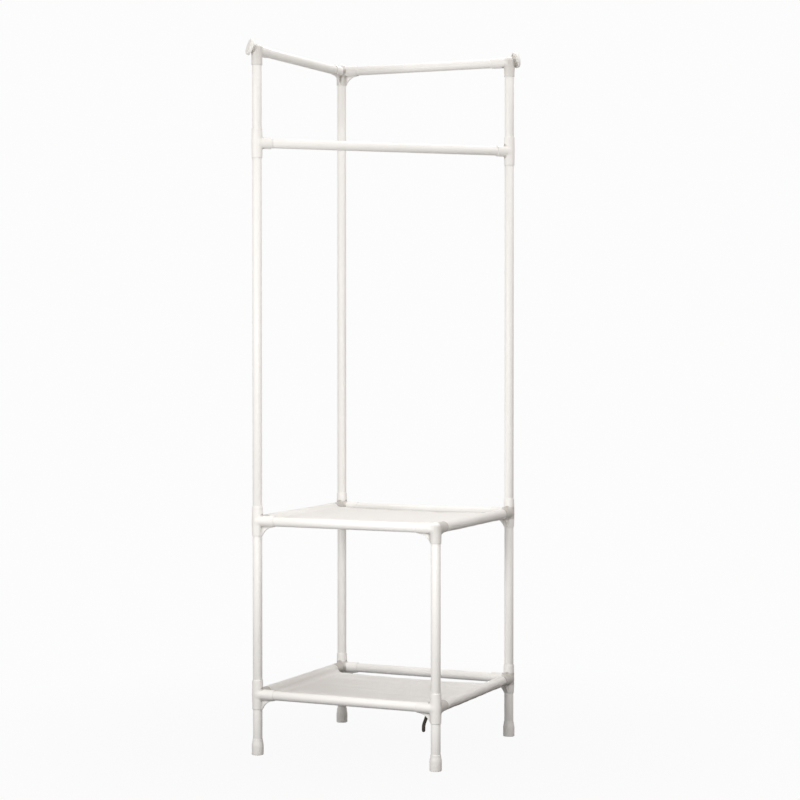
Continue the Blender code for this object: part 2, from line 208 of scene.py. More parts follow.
class Effects:
    """Shader node groups that several finishes share."""

    BROAD_DETAIL = 3.0
    FINE_DETAIL = 2.0
    TONE_RANGE = (0.35, 0.7)
    BROAD_SCALE = 0.06
    SLUB_SCALE = 90.0
    GAP_HEIGHT = 0.45

    def __init__(self) -> None:
        """Build each group once."""
        self.tone = self._tone()
        self.grain = self._grain()
        self.weave = self._weave()

    @staticmethod
    def _noise(sketch: Sketch, scale: Any, detail: float) -> NodeSocket:
        """A noise pattern that is fixed to the piece.

        Args:
            sketch: The group's sketch.
            scale: Size of the pattern, as a number or a socket.
            detail: How many finer layers it has.

        Returns:
            The pattern's value.
        """
        place = sketch.add("ShaderNodeTexCoord").outputs["Object"]
        inputs = {"Vector": place, "Scale": scale, "Detail": detail}
        return sketch.add("ShaderNodeTexNoise", inputs).outputs["Fac"]

    def _tone(self) -> NodeTree:
        """Slow drift from a main colour to a second one, as paint, plastic and cloth have.

        Returns:
            The group.
        """
        inputs = {"Main": "Color", "Second": "Color", "Scale": "Float", "Amount": "Float"}
        sketch, given, made = new_group("tone_drift", "ShaderNodeTree", inputs, {"Color": "Color"})
        pattern = self._noise(sketch, given["Scale"], self.BROAD_DETAIL)
        share = sketch.span(pattern, *self.TONE_RANGE, 0.0, given["Amount"])
        sketch.feed(made, {"Color": sketch.mix(share, given["Main"], given["Second"])})
        return sketch.tree

    def _grain(self) -> NodeTree:
        """Fine uneven surface: a height for bump, and a roughness that wanders with it.

        Returns:
            The group.
        """
        inputs = {"Scale": "Float", "Roughness": "Float", "Wander": "Float"}
        outputs = {"Height": "Float", "Roughness": "Float"}
        sketch, given, made = new_group("fine_grain", "ShaderNodeTree", inputs, outputs)
        fine = self._noise(sketch, given["Scale"], self.FINE_DETAIL)
        broad_scale = sketch.sum("MULTIPLY", given["Scale"], self.BROAD_SCALE)
        broad = self._noise(sketch, broad_scale, self.BROAD_DETAIL)
        shift = sketch.sum("MULTIPLY", sketch.sum("SUBTRACT", broad, 0.5), given["Wander"])
        sketch.feed(made, {"Height": fine, "Roughness": sketch.sum("ADD", given["Roughness"], shift)})
        return sketch.tree

    def _weave(self) -> NodeTree:
        """Plain weave on the cloth's own map: a height for bump and a mask of the gaps between threads,
        which get painted shade.

        Returns:
            The group.
        """
        inputs = {"Threads": "Float", "Slub": "Float"}
        outputs = {"Height": "Float", "GapShade": "Float"}
        sketch, given, made = new_group("plain_weave", "ShaderNodeTree", inputs, outputs)
        place = sketch.add("ShaderNodeUVMap", uv_map=CLOTH_UV).outputs["UV"]
        slub_inputs = {"Vector": place, "Scale": self.SLUB_SCALE, "Detail": self.FINE_DETAIL}
        uneven = sketch.add("ShaderNodeTexNoise", slub_inputs).outputs["Fac"]
        axes = sketch.add("ShaderNodeSeparateXYZ", {0: place}).outputs
        counts = [sketch.sum("MULTIPLY", axes[i], given["Threads"]) for i in range(2)]
        waves = [sketch.sum("SINE", sketch.sum("MULTIPLY", count, math.pi)) for count in counts]
        rounds = [sketch.sum("ABSOLUTE", wave) for wave in waves]
        steps = sketch.sum("ADD", *[sketch.sum("FLOOR", count) for count in counts])
        over = sketch.sum("PINGPONG", steps, 1.0)
        slub = sketch.sum("MULTIPLY", uneven, given["Slub"])
        height = sketch.sum("ADD", sketch.blend(over, *rounds), slub)
        gap_shade = sketch.span(sketch.sum("MINIMUM", *rounds), 0.0, self.GAP_HEIGHT, 1.0, 0.0)
        sketch.feed(made, {"Height": height, "GapShade": gap_shade})
        return sketch.tree


# Finishes


def new_material(name: str) -> tuple[Material, Sketch, Node]:
    """Start a material.

    Args:
        name: The material's name.

    Returns:
        The material, its sketch and its Principled shader.
    """
    material = bpy.data.materials.new(name)
    material.use_nodes = True
    return material, Sketch(material.node_tree), material.node_tree.nodes["Principled BSDF"]


def rgba(colour: Colour) -> tuple[float, float, float, float]:
    """A colour with full cover."""
    return (*colour, 1.0)


@dataclass(frozen=True, kw_only=True)
class Finish:
    """A surface whose tone drifts slowly between two colours."""

    name: str
    colour: Colour
    second: Colour
    tone_scale: float
    tone_amount: float
    roughness: float
    specular: float

    def build(self, effects: Effects) -> Material:
        """Make the material.

        Args:
            effects: The shared shader groups.

        Returns:
            The finished material.
        """
        material, sketch, shader = new_material(self.name)
        values = {"Main": rgba(self.colour), "Second": rgba(self.second)}
        values |= {"Scale": self.tone_scale, "Amount": self.tone_amount}
        tone = sketch.add("ShaderNodeGroup", values, node_tree=effects.tone)
        sketch.feed(shader, self.looks(sketch, effects, tone.outputs["Color"]))
        return material

    def looks(self, sketch: Sketch, effects: Effects, tone: NodeSocket) -> dict[str, Any]:
        """What the Principled shader is fed.

        Args:
            sketch: The material's sketch.
            effects: The shared shader groups.
            tone: The drifting tone.

        Returns:
            Values or sockets, by the shader's inputs.
        """
        return {"Base Color": tone, "Roughness": self.roughness, "Specular IOR Level": self.specular}


@dataclass(frozen=True, kw_only=True)
class HardFinish(Finish):
    """Paint, moulded plastic or thread: a drifting tone over a fine uneven surface, with painted shade in
    creases where a shade colour is given.
    """

    wander: float
    grain_scale: float
    grain_depth: float
    # Colour of painted shade, mixed in by the painted-shade attribute
    painted_shade_colour: Colour | None = None

    def looks(self, sketch: Sketch, effects: Effects, tone: NodeSocket) -> dict[str, Any]:
        """What the Principled shader is fed, with the surface's own pattern.

        Args:
            sketch: The material's sketch.
            effects: The shared shader groups.
            tone: The drifting tone.

        Returns:
            Values or sockets, by the shader's inputs.
        """
        values = {"Scale": self.grain_scale, "Roughness": self.roughness, "Wander": self.wander}
        grain = sketch.add("ShaderNodeGroup", values, node_tree=effects.grain).outputs
        bump = sketch.add("ShaderNodeBump", {"Height": grain["Height"], "Distance": self.grain_depth})
        # Painted shade: the tone darkens towards the shade colour where the piece's painted-shade attribute
        # is high
        if self.painted_shade_colour is not None:
            nook = sketch.add("ShaderNodeAttribute", attribute_name=PAINTED_SHADE).outputs["Fac"]
            tone = sketch.mix(nook, tone, rgba(self.painted_shade_colour))
        looks = super().looks(sketch, effects, tone)
        return looks | {"Roughness": grain["Roughness"], "Normal": bump.outputs["Normal"]}


@dataclass(frozen=True, kw_only=True)
class WovenFinish(Finish):
    """Woven cloth or tape: threads over and under each other, with painted shade in the gaps between them.
    """

    gap_shade_colour: Colour
    gap_shade_share: float
    threads: float
    thread_depth: float
    slub: float
    sheen: float = 0.2
    specular: float = 0.2

    def looks(self, sketch: Sketch, effects: Effects, tone: NodeSocket) -> dict[str, Any]:
        """What the Principled shader is fed, with the surface's own pattern.

        Args:
            sketch: The material's sketch.
            effects: The shared shader groups.
            tone: The drifting tone.

        Returns:
            Values or sockets, by the shader's inputs.
        """
        values = {"Threads": self.threads, "Slub": self.slub}
        weave = sketch.add("ShaderNodeGroup", values, node_tree=effects.weave).outputs
        # Painted shade: the gaps between threads are darkened towards the gap shade colour
        gap_shade = sketch.sum("MULTIPLY", weave["GapShade"], self.gap_shade_share)
        bump = sketch.add("ShaderNodeBump", {"Height": weave["Height"], "Distance": self.thread_depth})
        looks = super().looks(sketch, effects, sketch.mix(gap_shade, tone, rgba(self.gap_shade_colour)))
        return looks | {"Normal": bump.outputs["Normal"], "Sheen Weight": self.sheen}


POWDER_COAT = HardFinish(
    name="white_powder_coat",
    colour=(0.86, 0.85, 0.832),
    second=(0.82, 0.805, 0.783),
    tone_scale=14.0,
    tone_amount=0.5,
    roughness=0.40,
    wander=0.12,
    grain_scale=700.0,
    grain_depth=0.00006,
    specular=0.36,
)
MOULDED_PLASTIC = HardFinish(
    name="white_moulded_plastic",
    colour=(0.845, 0.832, 0.812),
    second=(0.79, 0.773, 0.75),
    tone_scale=40.0,
    tone_amount=0.5,
    roughness=0.50,
    wander=0.10,
    grain_scale=1800.0,
    grain_depth=0.00003,
    specular=0.4,
    # Painted shade in the connectors' creases and recesses and on the sockets beside the sleeves
    painted_shade_colour=(0.34, 0.315, 0.285),
)
SHELF_WEAVE = WovenFinish(
    name="off_white_shelf_weave",
    colour=(0.965, 0.957, 0.943),
    second=(0.94, 0.93, 0.914),
    # Painted shade in the gaps between threads
    gap_shade_colour=(0.86, 0.843, 0.82),
    gap_shade_share=0.26,
    tone_scale=18.0,
    tone_amount=0.5,
    roughness=0.9,
    threads=1400.0,
    thread_depth=0.00025,
    slub=0.6,
)
SEWING_THREAD = HardFinish(
    name="white_sewing_thread",
    colour=(0.84, 0.82, 0.77),
    second=(0.74, 0.71, 0.65),
    tone_scale=300.0,
    tone_amount=0.6,
    roughness=0.7,
    wander=0.1,
    grain_scale=4000.0,
    grain_depth=0.00004,
    specular=0.3,
)
TIE_TAPE = WovenFinish(
    name="dark_tie_tape",
    colour=(0.055, 0.043, 0.037),
    second=(0.085, 0.068, 0.058),
    # Painted shade in the gaps between threads
    gap_shade_colour=(0.018, 0.014, 0.012),
    gap_shade_share=0.7,
    tone_scale=120.0,
    tone_amount=0.6,
    roughness=0.85,
    threads=2200.0,
    thread_depth=0.0002,
    slub=0.5,
)


# Meshes


def points_of(*parts: Any) -> np.ndarray:
    """Points from their separate coordinates, of which some may be one number for all."""
    return np.stack(np.broadcast_arrays(*parts), axis=1)


def held(values: Any) -> Any:
    """Values held between nought and one."""
    return np.clip(values, 0.0, 1.0)


def new_mesh(name: str, points: Any, faces: Any) -> Mesh:
    """Smooth-shaded mesh from points and faces.

    Args:
        name: The mesh's name.
        points: Its points.
        faces: Its faces, by the numbers of their points.

    Returns:
        The mesh.
    """
    mesh = bpy.data.meshes.new(name)
    mesh.from_pydata([tuple(map(float, p)) for p in points], [], [tuple(map(int, f)) for f in faces])
    mesh.validate()
    mesh.shade_smooth()
    return mesh


def new_object(name: str, mesh: Mesh) -> Object:
    """Object of a mesh, in the scene.

    Args:
        name: The object's name.
        mesh: Its mesh.

    Returns:
        The object.
    """
    obj = bpy.data.objects.new(name, mesh)
    bpy.context.scene.collection.objects.link(obj)
    return obj


def bake(obj: Object) -> None:
    """Turn an object's modifiers into its plain mesh.

    Args:
        obj: The object.
    """
    depsgraph = bpy.context.evaluated_depsgraph_get()
    mesh = bpy.data.meshes.new_from_object(obj.evaluated_get(depsgraph))
    obj.modifiers.clear()
    old = obj.data
    obj.data = mesh
    bpy.data.meshes.remove(old)
    mesh.name = obj.name


def end_tree(sketch: Sketch, made: Node, mesh: NodeSocket, material: NodeSocket) -> NodeTree:
    """Finish a Geometry Nodes tree.

    Args:
        sketch: The tree's sketch.
        made: Its output node.
        mesh: What has been made, with instances or without.
        material: Material of all of it.

    Returns:
        The tree, which gives one smooth mesh.
    """
    for kind in ("GeometryNodeRealizeInstances", "GeometryNodeSetShadeSmooth"):
        mesh = sketch.add(kind, {"Geometry": mesh}).outputs["Geometry"]
    dressed = sketch.add("GeometryNodeSetMaterial", {"Geometry": mesh, "Material": material})
    sketch.feed(made, {0: dressed.outputs["Geometry"]})
    return sketch.tree


def add_tree(obj: Object, tree: NodeTree, values: dict[str, Any]) -> None:
    """Put a Geometry Nodes tree on an object, with its named inputs set.

    Args:
        obj: The object.
        tree: The tree.
        values: Values of its inputs, by their names.
    """
    modifier = obj.modifiers.new(tree.name, "NODES")
    modifier.node_group = tree
    for item in tree.interface.items_tree:
        if item.item_type == "SOCKET" and item.in_out == "INPUT" and item.name in values:
            modifier[item.identifier] = values[item.name]


def set_piece(obj: Object, slot: Slot, material: Material, nodes: Sequence[str] = ()) -> None:
    """Finish a piece: its material, its body and the solids that it stands for.

    Args:
        obj: The piece, with its place in its mesh.
        slot: The record's material slot; not used.
        material: The piece's finish.
        nodes: The solids that it replaces.
    """
    obj.data.materials.clear()
    obj.data.materials.append(material)
    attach(obj, BODY)
    if nodes:
        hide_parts(*nodes)
    LOG.info("%s: %d faces, for %s", obj.name, len(obj.data.polygons), ", ".join(nodes) or "no solid")


def arc(centre: tuple[float, float], radius: float, first: float, last: float, steps: int) -> Profile:
    """Points of a circle's arc from one angle to another, both ends included."""
    turns = [first + (last - first) * i / steps for i in range(steps + 1)]
    return [(centre[0] + radius * math.cos(t), centre[1] + radius * math.sin(t)) for t in turns]


def filleted(corners: Sequence[Triple], steps: int = 4) -> Profile:
    """Profile whose corners are rounded.

    Args:
        corners: Radius and height of each corner, and how far back its rounding starts.
        steps: Steps of each rounding.

    Returns:
        The profile's points.
    """
    points: Profile = []
    places = [Vector(c[:2]) for c in corners]
    for i, (here, (_, _, setback)) in enumerate(zip(places, corners)):
        if setback == 0.0 or i in (0, len(corners) - 1):
            points.append((here.x, here.y))
            continue
        start = here + (places[i - 1] - here).normalized() * setback
        end = here + (places[i + 1] - here).normalized() * setback
        for k in range(steps + 1):
            t = k / steps
            point = start * (1 - t) ** 2 + here * 2 * t * (1 - t) + end * t ** 2
            points.append((point.x, point.y))
    return points


def turned(name: str, profile: Profile, sides: int, place: Matrix) -> Mesh:
    """Closed body of revolution.

    Args:
        name: The mesh's name.
        profile: Radius and height of each point, from one end of the axis to the other.
        sides: Facets round the axis.
        place: Where the body goes.

    Returns:
        The mesh, in place, with every face turned outwards.
    """
    angles = 2 * np.pi * np.arange(sides) / sides
    rings = [points_of(radius * np.cos(angles), radius * np.sin(angles), z) for radius, z in profile]
    faces = []
    for i in range(len(rings) - 1):
        for j in range(sides):
            k = (j + 1) % sides
            faces.append((i * sides + j, i * sides + k, (i + 1) * sides + k, (i + 1) * sides + j))
    mesh = new_mesh(name, np.concatenate(rings), faces)
    mesh.transform(place)
    work = bmesh.new()
    work.from_mesh(mesh)
    bmesh.ops.remove_doubles(work, verts=work.verts, dist=MERGE_DISTANCE)
    bmesh.ops.recalc_face_normals(work, faces=work.faces)
    work.to_mesh(mesh)
    work.free()
    return mesh


# Signed shapes and the skin over them


def smooth_join(first: np.ndarray, second: np.ndarray, radius: float) -> np.ndarray:
    """Signed distance of two shapes joined with a fillet."""
    near = np.maximum(radius - np.abs(first - second), 0.0) / radius
    return np.minimum(first, second) - near * near * radius / 4


def smooth_cut(body: np.ndarray, tool: np.ndarray, radius: float) -> np.ndarray:
    """Signed distance of a body with a tool cut away and the new edge rounded."""
    return -smooth_join(-body, tool, radius)


def rounded_meet(first: np.ndarray, second: np.ndarray, edge: float) -> np.ndarray:
    """Signed distance of what two shapes share, with its edge rounded."""
    a, b = first + edge, second + edge
    return np.minimum(np.maximum(a, b), 0.0) + np.hypot(np.maximum(a, 0.0), np.maximum(b, 0.0)) - edge


def bar(
    points: np.ndarray, axis: Vector, start: float, end: float, radius: float, edge: float,
    origin: Vector = Vector(), taper: float = 0.0,
) -> np.ndarray:
    """Signed distance of a round bar with rounded rims.

    Args:
        points: Points, one in each row.
        axis: Direction of the bar.
        start: Where it starts along the axis.
        end: Where it ends.
        radius: Its radius.
        edge: Rounding of its rims.
        origin: A point on its axis, from which start and end are counted.
        taper: How much thinner it is at its end than at its origin.

    Returns:
        The points' distances, below zero inside.
    """
    offset = points - np.array(origin)
    along = offset @ np.array(axis.normalized())
    across = np.sqrt(np.maximum((offset ** 2).sum(axis=1) - along ** 2, 0.0))
    across = across + taper * held(along / end)
    return rounded_meet(across - radius, np.maximum(start - along, along - end), edge)


def domed_bar(
    points: np.ndarray, start: float, shoulder: float, rise: float,
    radius: float, edge: float, taper: float,
) -> np.ndarray:
    """Signed distance of an upright bar with an elliptical dome on top.

    Args:
        points: Points, one in each row.
        start: Height of its lower end, below zero.
        shoulder: Height where the dome begins.
        rise: Height of the dome's top.
        radius: The bar's radius.
        edge: Rounding of its lower rim.
        taper: How much thinner it is at its lower end.

    Returns:
        The points' distances, below zero inside.
    """
    depth = rise - shoulder
    narrowed = radius - taper * held(points[:, 2] / start)
    across = np.hypot(points[:, 0], points[:, 1]) / narrowed
    above = np.maximum(points[:, 2] - shoulder, 0.0) / depth
    return rounded_meet((np.hypot(across, above) - 1.0) * depth, start - points[:, 2], edge)


def skin(shape: Shape, reach: float, cell: float) -> tuple[np.ndarray, np.ndarray]:
    """Closed quad skin on the zero surface of a signed shape.

    Args:
        shape: The shape's signed distance, below zero inside it.
        reach: How far the shape goes from the origin along any axis.
        cell: Size of a grid cell.

    Returns:
        The skin's points and its quads, which face outwards.
    """
    low = np.full(3, -reach) - MARGIN_CELLS * cell
    counts = np.ceil((reach - low) / cell).astype(int) + MARGIN_CELLS + 1
    axes = [low[i] + cell * np.arange(counts[i]) for i in range(3)]
    grid = np.stack(np.meshgrid(*axes, indexing="ij"), axis=-1)
    values = shape(grid.reshape(-1, 3)).reshape(counts)
    crossing_sum = np.zeros((*(counts - 1), 3))
    crossing_count = np.zeros(counts - 1)
    crossings = []
    for axis in range(3):
        first = np.take(values, range(counts[axis] - 1), axis=axis)
        second = np.take(values, range(1, counts[axis]), axis=axis)
        change = (first < 0) != (second < 0)
        spots = np.argwhere(change)
        share = first[change] / (first[change] - second[change])
        places = low + cell * spots
        places[:, axis] += cell * share
        others = [a for a in range(3) if a != axis]
        around = []
        for step in ((0, 0), (1, 0), (1, 1), (0, 1)):
            cells = spots.copy()
            cells[:, others] -= step
            np.add.at(crossing_sum, tuple(cells.T), places)
            np.add.at(crossing_count, tuple(cells.T), 1)
            around.append(cells)
        crossings.append((around, first[change] < 0, axis))
    used = crossing_count > 0
    number = np.full(counts - 1, -1)
    number[used] = np.arange(used.sum())
    points = crossing_sum[used] / crossing_count[used][:, None]
    for _ in range(SETTLE_ROUNDS):
        points = points - settle(shape, points, cell)
    quads = []
    for around, leaves, axis in crossings:
        ring = np.stack([number[tuple(cells.T)] for cells in around], axis=1)
        turned_over = leaves == (axis == 1)
        ring[turned_over] = ring[turned_over][:, ::-1]
        quads.append(ring)
    return points, np.concatenate(quads)


def slope_of(shape: Shape, points: np.ndarray, reach: float) -> np.ndarray:
    """Slope of a signed shape, which points straight out of its surface.

    Args:
        shape: The shape's signed distance.
        points: Where the slope is taken.
        reach: How far to each side it looks.

    Returns:
        The slope at each point.
    """
    slope = np.zeros_like(points)
    for axis, step in enumerate(np.eye(3) * reach):
        slope[:, axis] = (shape(points + step) - shape(points - step)) / (2 * reach)
    return slope


def settle(shape: Shape, points: np.ndarray, cell: float) -> np.ndarray:
    """Steps that move points off a signed shape's surface back on to it.

    Args:
        shape: The shape's signed distance.
        points: Points near its surface.
        cell: Size of a grid cell, of which a step is a quarter at most.

    Returns:
        The step to take away from each point.
    """
    slope = slope_of(shape, points, cell * SLOPE_STEP)
    steepness = np.maximum((slope ** 2).sum(axis=1), LEAST_SLOPE)
    move = slope * (shape(points) / steepness)[:, None]
    return np.clip(move, -cell / 4, cell / 4)


def painted_crease_shade(
    shape: Shape, points: np.ndarray, reaches: Sequence[float], least: float, full: float
) -> np.ndarray:
    """Painted shade: how far each point of a surface lies in a nook of its own shape, where shade would
    fall.

    Args:
        shape: The shape's signed distance.
        points: Points on its surface.
        reaches: Distances out from the surface where room is looked for.
        least: Missing share of that room where a nook begins.
        full: Missing share where it counts as a full nook.

    Returns:
        Painted shade, zero in the open to one deep in a nook.
    """
    slope = slope_of(shape, points, min(reaches) * SLOPE_STEP)
    way = slope / np.maximum(np.linalg.norm(slope, axis=1), LEAST_SLOPE)[:, None]
    room = [held(shape(points + way * reach) / reach) for reach in reaches]
    missing = 1.0 - np.mean(room, axis=0)
    return held((missing - least) / (full - least))


# The frame's own sizes


@dataclass(frozen=True)
class Plan:
    """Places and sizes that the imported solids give."""

    half: float
    tube_radius: float
    low_z: float
    mid_z: float
    hang_z: float
    top_z: float

    @classmethod
    def measure(cls) -> "Plan":
        """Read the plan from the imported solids.

        Returns:
            The plan.
        """
        foot_low, foot_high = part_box("foot_right")
        post_low, post_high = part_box("post_right_lower")
        heights = []
        for node in ("low_rail_left", "mid_rail_left", "hanging_rail", "top_rail_left"):
            low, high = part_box(node)
            heights.append((low.z + high.z) / 2)
        return cls((foot_low.x + foot_high.x) / 2, (post_high.x - post_low.x) / 2, *heights)

    def post(self, corner: Corner, height: float) -> Vector:
        """Point on a post's axis."""
        place = Matrix.Rotation(corner.turn, 3, "Z") @ Vector((-self.half, -self.half, 0.0))
        return place + UP * height

    @staticmethod
    def peg_axis(corner: Corner) -> Vector:
        """Direction of a hat peg, outwards along the plan's diagonal and tilted up.

        Args:
            corner: The peg's corner.

        Returns:
            The direction, of length one.
        """
        turn = math.radians(225.0) + corner.turn
        level = math.cos(PEG_TILT)
        return Vector((math.cos(turn) * level, math.sin(turn) * level, math.sin(PEG_TILT)))


# Tubes


@dataclass
class TubeWorks:
    """Painted steel tubes, each swept along its own run."""

    plan: Plan
    paint: Material
    wall: float = 0.0008
    rim_round: float = 0.00025
    rim_segments: int = 2
    rim_angle: float = math.radians(60.0)
    sides: int = 48
    tree: NodeTree = field(init=False)

    POSTS = {
        "left": ("leg", "lower", "upper", "top"),
        "right": ("leg", "lower", "upper", "top"),
        "back": ("leg", "lower", "upper"),
        "front": ("leg", "lower"),
    }
    SIDES = ("left", "right", "front", "back")
    RAILS = {"low": SIDES, "mid": SIDES, "top": ("left", "back")}

    def __post_init__(self) -> None:
        """Build the sweep once."""
        inputs = {"Start": "Vector", "End": "Vector", "Radius": "Float", "Sides": "Int", "Paint": "Material"}
        sketch, given, made = new_group("tube_sweep", "GeometryNodeTree", inputs, {"Tube": "Geometry"})
        ends = {"Start": given["Start"], "End": given["End"]}
        run = sketch.add("GeometryNodeCurvePrimitiveLine", ends, mode="POINTS")
        circle = {"Resolution": given["Sides"], "Radius": given["Radius"]}
        ring = sketch.add("GeometryNodeCurvePrimitiveCircle", circle)
        curves = {"Curve": run.outputs["Curve"], "Profile Curve": ring.outputs["Curve"]}
        sweep = sketch.add("GeometryNodeCurveToMesh", curves)
        self.tree = end_tree(sketch, made, sweep.outputs["Mesh"], given["Paint"])

    def nodes(self) -> list[str]:
        """Names of all the tubes' solids.

        Returns:
            The names, posts first.
        """
        posts = [f"post_{side}_{part}" for side, parts in self.POSTS.items() for part in parts]
        rails = [f"{level}_rail_{side}" for level, sides in self.RAILS.items() for side in sides]
        return [*posts, *rails, "hanging_rail"]

    def run_of(self, node: str) -> tuple[Vector, Vector]:
        """Ends of a tube's axis, read from its solid's box.

        Args:
            node: The tube's solid.

        Returns:
            The two ends.
        """
        low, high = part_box(node)
        size = high - low
        diagonal = min(size.x, size.y) > 4 * self.plan.tube_radius
        if diagonal:
            reach = Vector((size.x, size.y, 0.0)) / 2
            reach -= reach.normalized() * self.plan.tube_radius
        else:
            longest = max(range(3), key=lambda axis: size[axis])
            reach = Vector()
            reach[longest] = size[longest] / 2
        middle = (low + high) / 2
        return middle - reach, middle + reach

    def build(self) -> None:
        """Make every tube with its wall and its deburred rims."""
        for node in self.nodes():
            start, end = self.run_of(node)
            tube = new_object(f"{node}_tube", bpy.data.meshes.new(node))
            values = {"Start": start, "End": end, "Radius": self.plan.tube_radius}
            add_tree(tube, self.tree, {**values, "Sides": self.sides, "Paint": self.paint})
            wall = tube.modifiers.new("wall", "SOLIDIFY")
            wall.thickness = self.wall
            wall.offset = -1.0
            rim = tube.modifiers.new("rim", "BEVEL")
            rim.width = self.rim_round
            rim.segments = self.rim_segments
            rim.limit_method = "ANGLE"
            rim.angle_limit = self.rim_angle
            bake(tube)
            set_piece(tube, Slot.PAINT, self.paint, (node,))


# Connectors


@dataclass
class Moulding:
    """One connector's form about the crossing of its tube axes, with its first rail along +X."""

    rails: tuple[Vector, ...]
    bore_radius: float
    socket_radius: float
    socket_reach: float
    barrel_radius: float
    barrel_reach: float
    core: float
    webbed: bool = False
    bead: float = 0.0
    dome_rise: float | None = None
    dome_depth: float = 0.010
    peg: Vector | None = None
    boss_radius: float = 0.008
    boss_reach: float = 0.0143
    boss_hole: float = 0.0058
    boss_depth: float = 0.0103
    taper: float = 0.0008
    least_wall: float = 0.0013
    overlap: float = 0.005
    rim: float = 0.0005
    fillet: float = 0.0030
    mouth: float = 0.0003
    web_thickness: float = 0.005
    web_edge: float = 0.0012
    web_fillet: float = 0.0025
    web_setback: float = 0.001
    web_short: float = 0.005
    web_hollow: float = 0.00424
    bead_length: float = 0.003
    sleeve_shade: float = 0.55
    shade_edge: float = 0.004
    # Reaches and limits of the painted shade in creases
    crease_shade_reaches: tuple[float, ...] = (0.0025, 0.005, 0.010)
    crease_shade_open: float = 0.12
    crease_shade_full: float = 0.42
    cell: float = 0.00085

    def _narrowing(self, radius: float) -> float:
        """Taper of a socket of this radius that leaves the least wall at its end."""
        return min(self.taper, radius - self.bore_radius - self.least_wall)

    def _web(self, points: np.ndarray, axis: Vector) -> np.ndarray:
        """Signed distance of the hollow-edged web in the upright plane under a rail.

        Args:
            points: Points, one in each row.
            axis: Direction of the rail.

        Returns:
            The points' distances, below zero inside.
        """
        out = self.socket_reach - self.web_short
        down = -(self.barrel_reach - self.web_setback)
        start = np.array((out, -self.socket_radius))
        end = np.array((self.barrel_radius, down))
        chord = end - start
        length = np.hypot(*chord)
        radius = (length ** 2 / 4 + self.web_hollow ** 2) / (2 * self.web_hollow)
        away = np.array((-chord[1], chord[0])) / length
        centre = (start + end) / 2 + away * (radius - self.web_hollow)
        along = points @ np.array(axis)
        aside = np.abs(points @ np.array(axis.cross(UP)))
        height = points[:, 2]
        hollow = radius - np.hypot(along - centre[0], height - centre[1])
        outline = np.maximum.reduce([hollow, along - out, down - height, height, -along])
        return rounded_meet(outline, aside - self.web_thickness / 2, self.web_edge)

    def _barrel(self, points: np.ndarray) -> np.ndarray:
        """Signed distance of the upright part of the connector, open above or domed.

        Args:
            points: Points, one in each row.

        Returns:
            Their distances, below zero inside.
        """
        taper = self._narrowing(self.barrel_radius)
        if self.dome_rise is not None:
            heights = (-self.barrel_reach, self.dome_rise - self.dome_depth, self.dome_rise)
            return domed_bar(points, *heights, self.barrel_radius, self.rim, taper)
        sizes = (-self.overlap, self.barrel_reach, self.barrel_radius, self.rim)
        return np.minimum(*[bar(points, way, *sizes, taper=taper) for way in (UP, DOWN)])

    def distance(self, points: np.ndarray) -> np.ndarray:
        """Signed distance of the whole connector.

        Args:
            points: Points, one in each row.

        Returns:
            Their distances, below zero inside.
        """
        body = self._barrel(points)
        taper = self._narrowing(self.socket_radius)
        bores = [(DOWN, self.barrel_reach)]
        if self.dome_rise is None:
            bores.append((UP, self.barrel_reach))
        for axis in self.rails:
            sizes = (0.0, self.socket_reach, self.socket_radius, self.rim)
            body = smooth_join(body, bar(points, axis, *sizes, taper=taper), self.fillet)
            bores.append((axis, self.socket_reach))
            if self.bead:
                start = self.socket_reach - self.bead_length
                bead_radius = self.socket_radius - taper + self.bead
                ring = bar(points, axis, start, self.socket_reach, bead_radius, self.rim)
                body = smooth_join(body, ring, self.bead)
            if self.webbed:
                body = smooth_join(body, self._web(points, axis), self.web_fillet)
        origin = UP * PEG_RISE
        floor = self.boss_reach - self.boss_depth
        if self.peg is not None:
            boss = bar(points, self.peg, floor, self.boss_reach, self.boss_radius, self.rim, origin)
            body = smooth_join(body, boss, self.fillet)
        for axis, depth in bores:
            bore = bar(points, axis, self.core, 2 * depth, self.bore_radius, 0.0)
            body = smooth_cut(body, bore, self.mouth)
        if self.peg is not None:
            hole = bar(points, self.peg, floor, 2 * self.boss_reach, self.boss_hole, 0.0, origin)
            body = smooth_cut(body, hole, self.mouth)
        return body

    def build(self) -> Skin:
        """Skin of the whole connector.

        Returns:
            Its points and quads, and the painted shade of each point, from how far it lies in a nook.
        """
        reach = max(self.socket_reach, self.barrel_reach) + self.rim
        points, quads = skin(self.distance, reach, self.cell)
        painted_shades = painted_crease_shade(self.distance, points, self.crease_shade_reaches, self.crease_shade_open, self.crease_shade_full)
        return points, quads, painted_shades

    def beside_sleeve(self, form: Skin, rail: Vector) -> Skin:
        """The same skin with the socket of a sleeved rail, and the barrel behind it, in shade.

        Args:
            form: Points, quads and painted shade of the skin.
            rail: Axis of the sleeved rail.

        Returns:
            The skin with its painted shade deepened there.
        """
        points, quads, painted_shades = form
        along = points @ np.array(rail)
        aside = np.abs(points @ np.array(rail.cross(UP)))
        room = np.array([along, self.barrel_radius - aside, self.socket_radius - np.abs(points[:, 2])])
        share = np.prod(held(room / self.shade_edge + 1.0), axis=0)
        return points, quads, np.maximum(painted_shades, self.sleeve_shade * share)


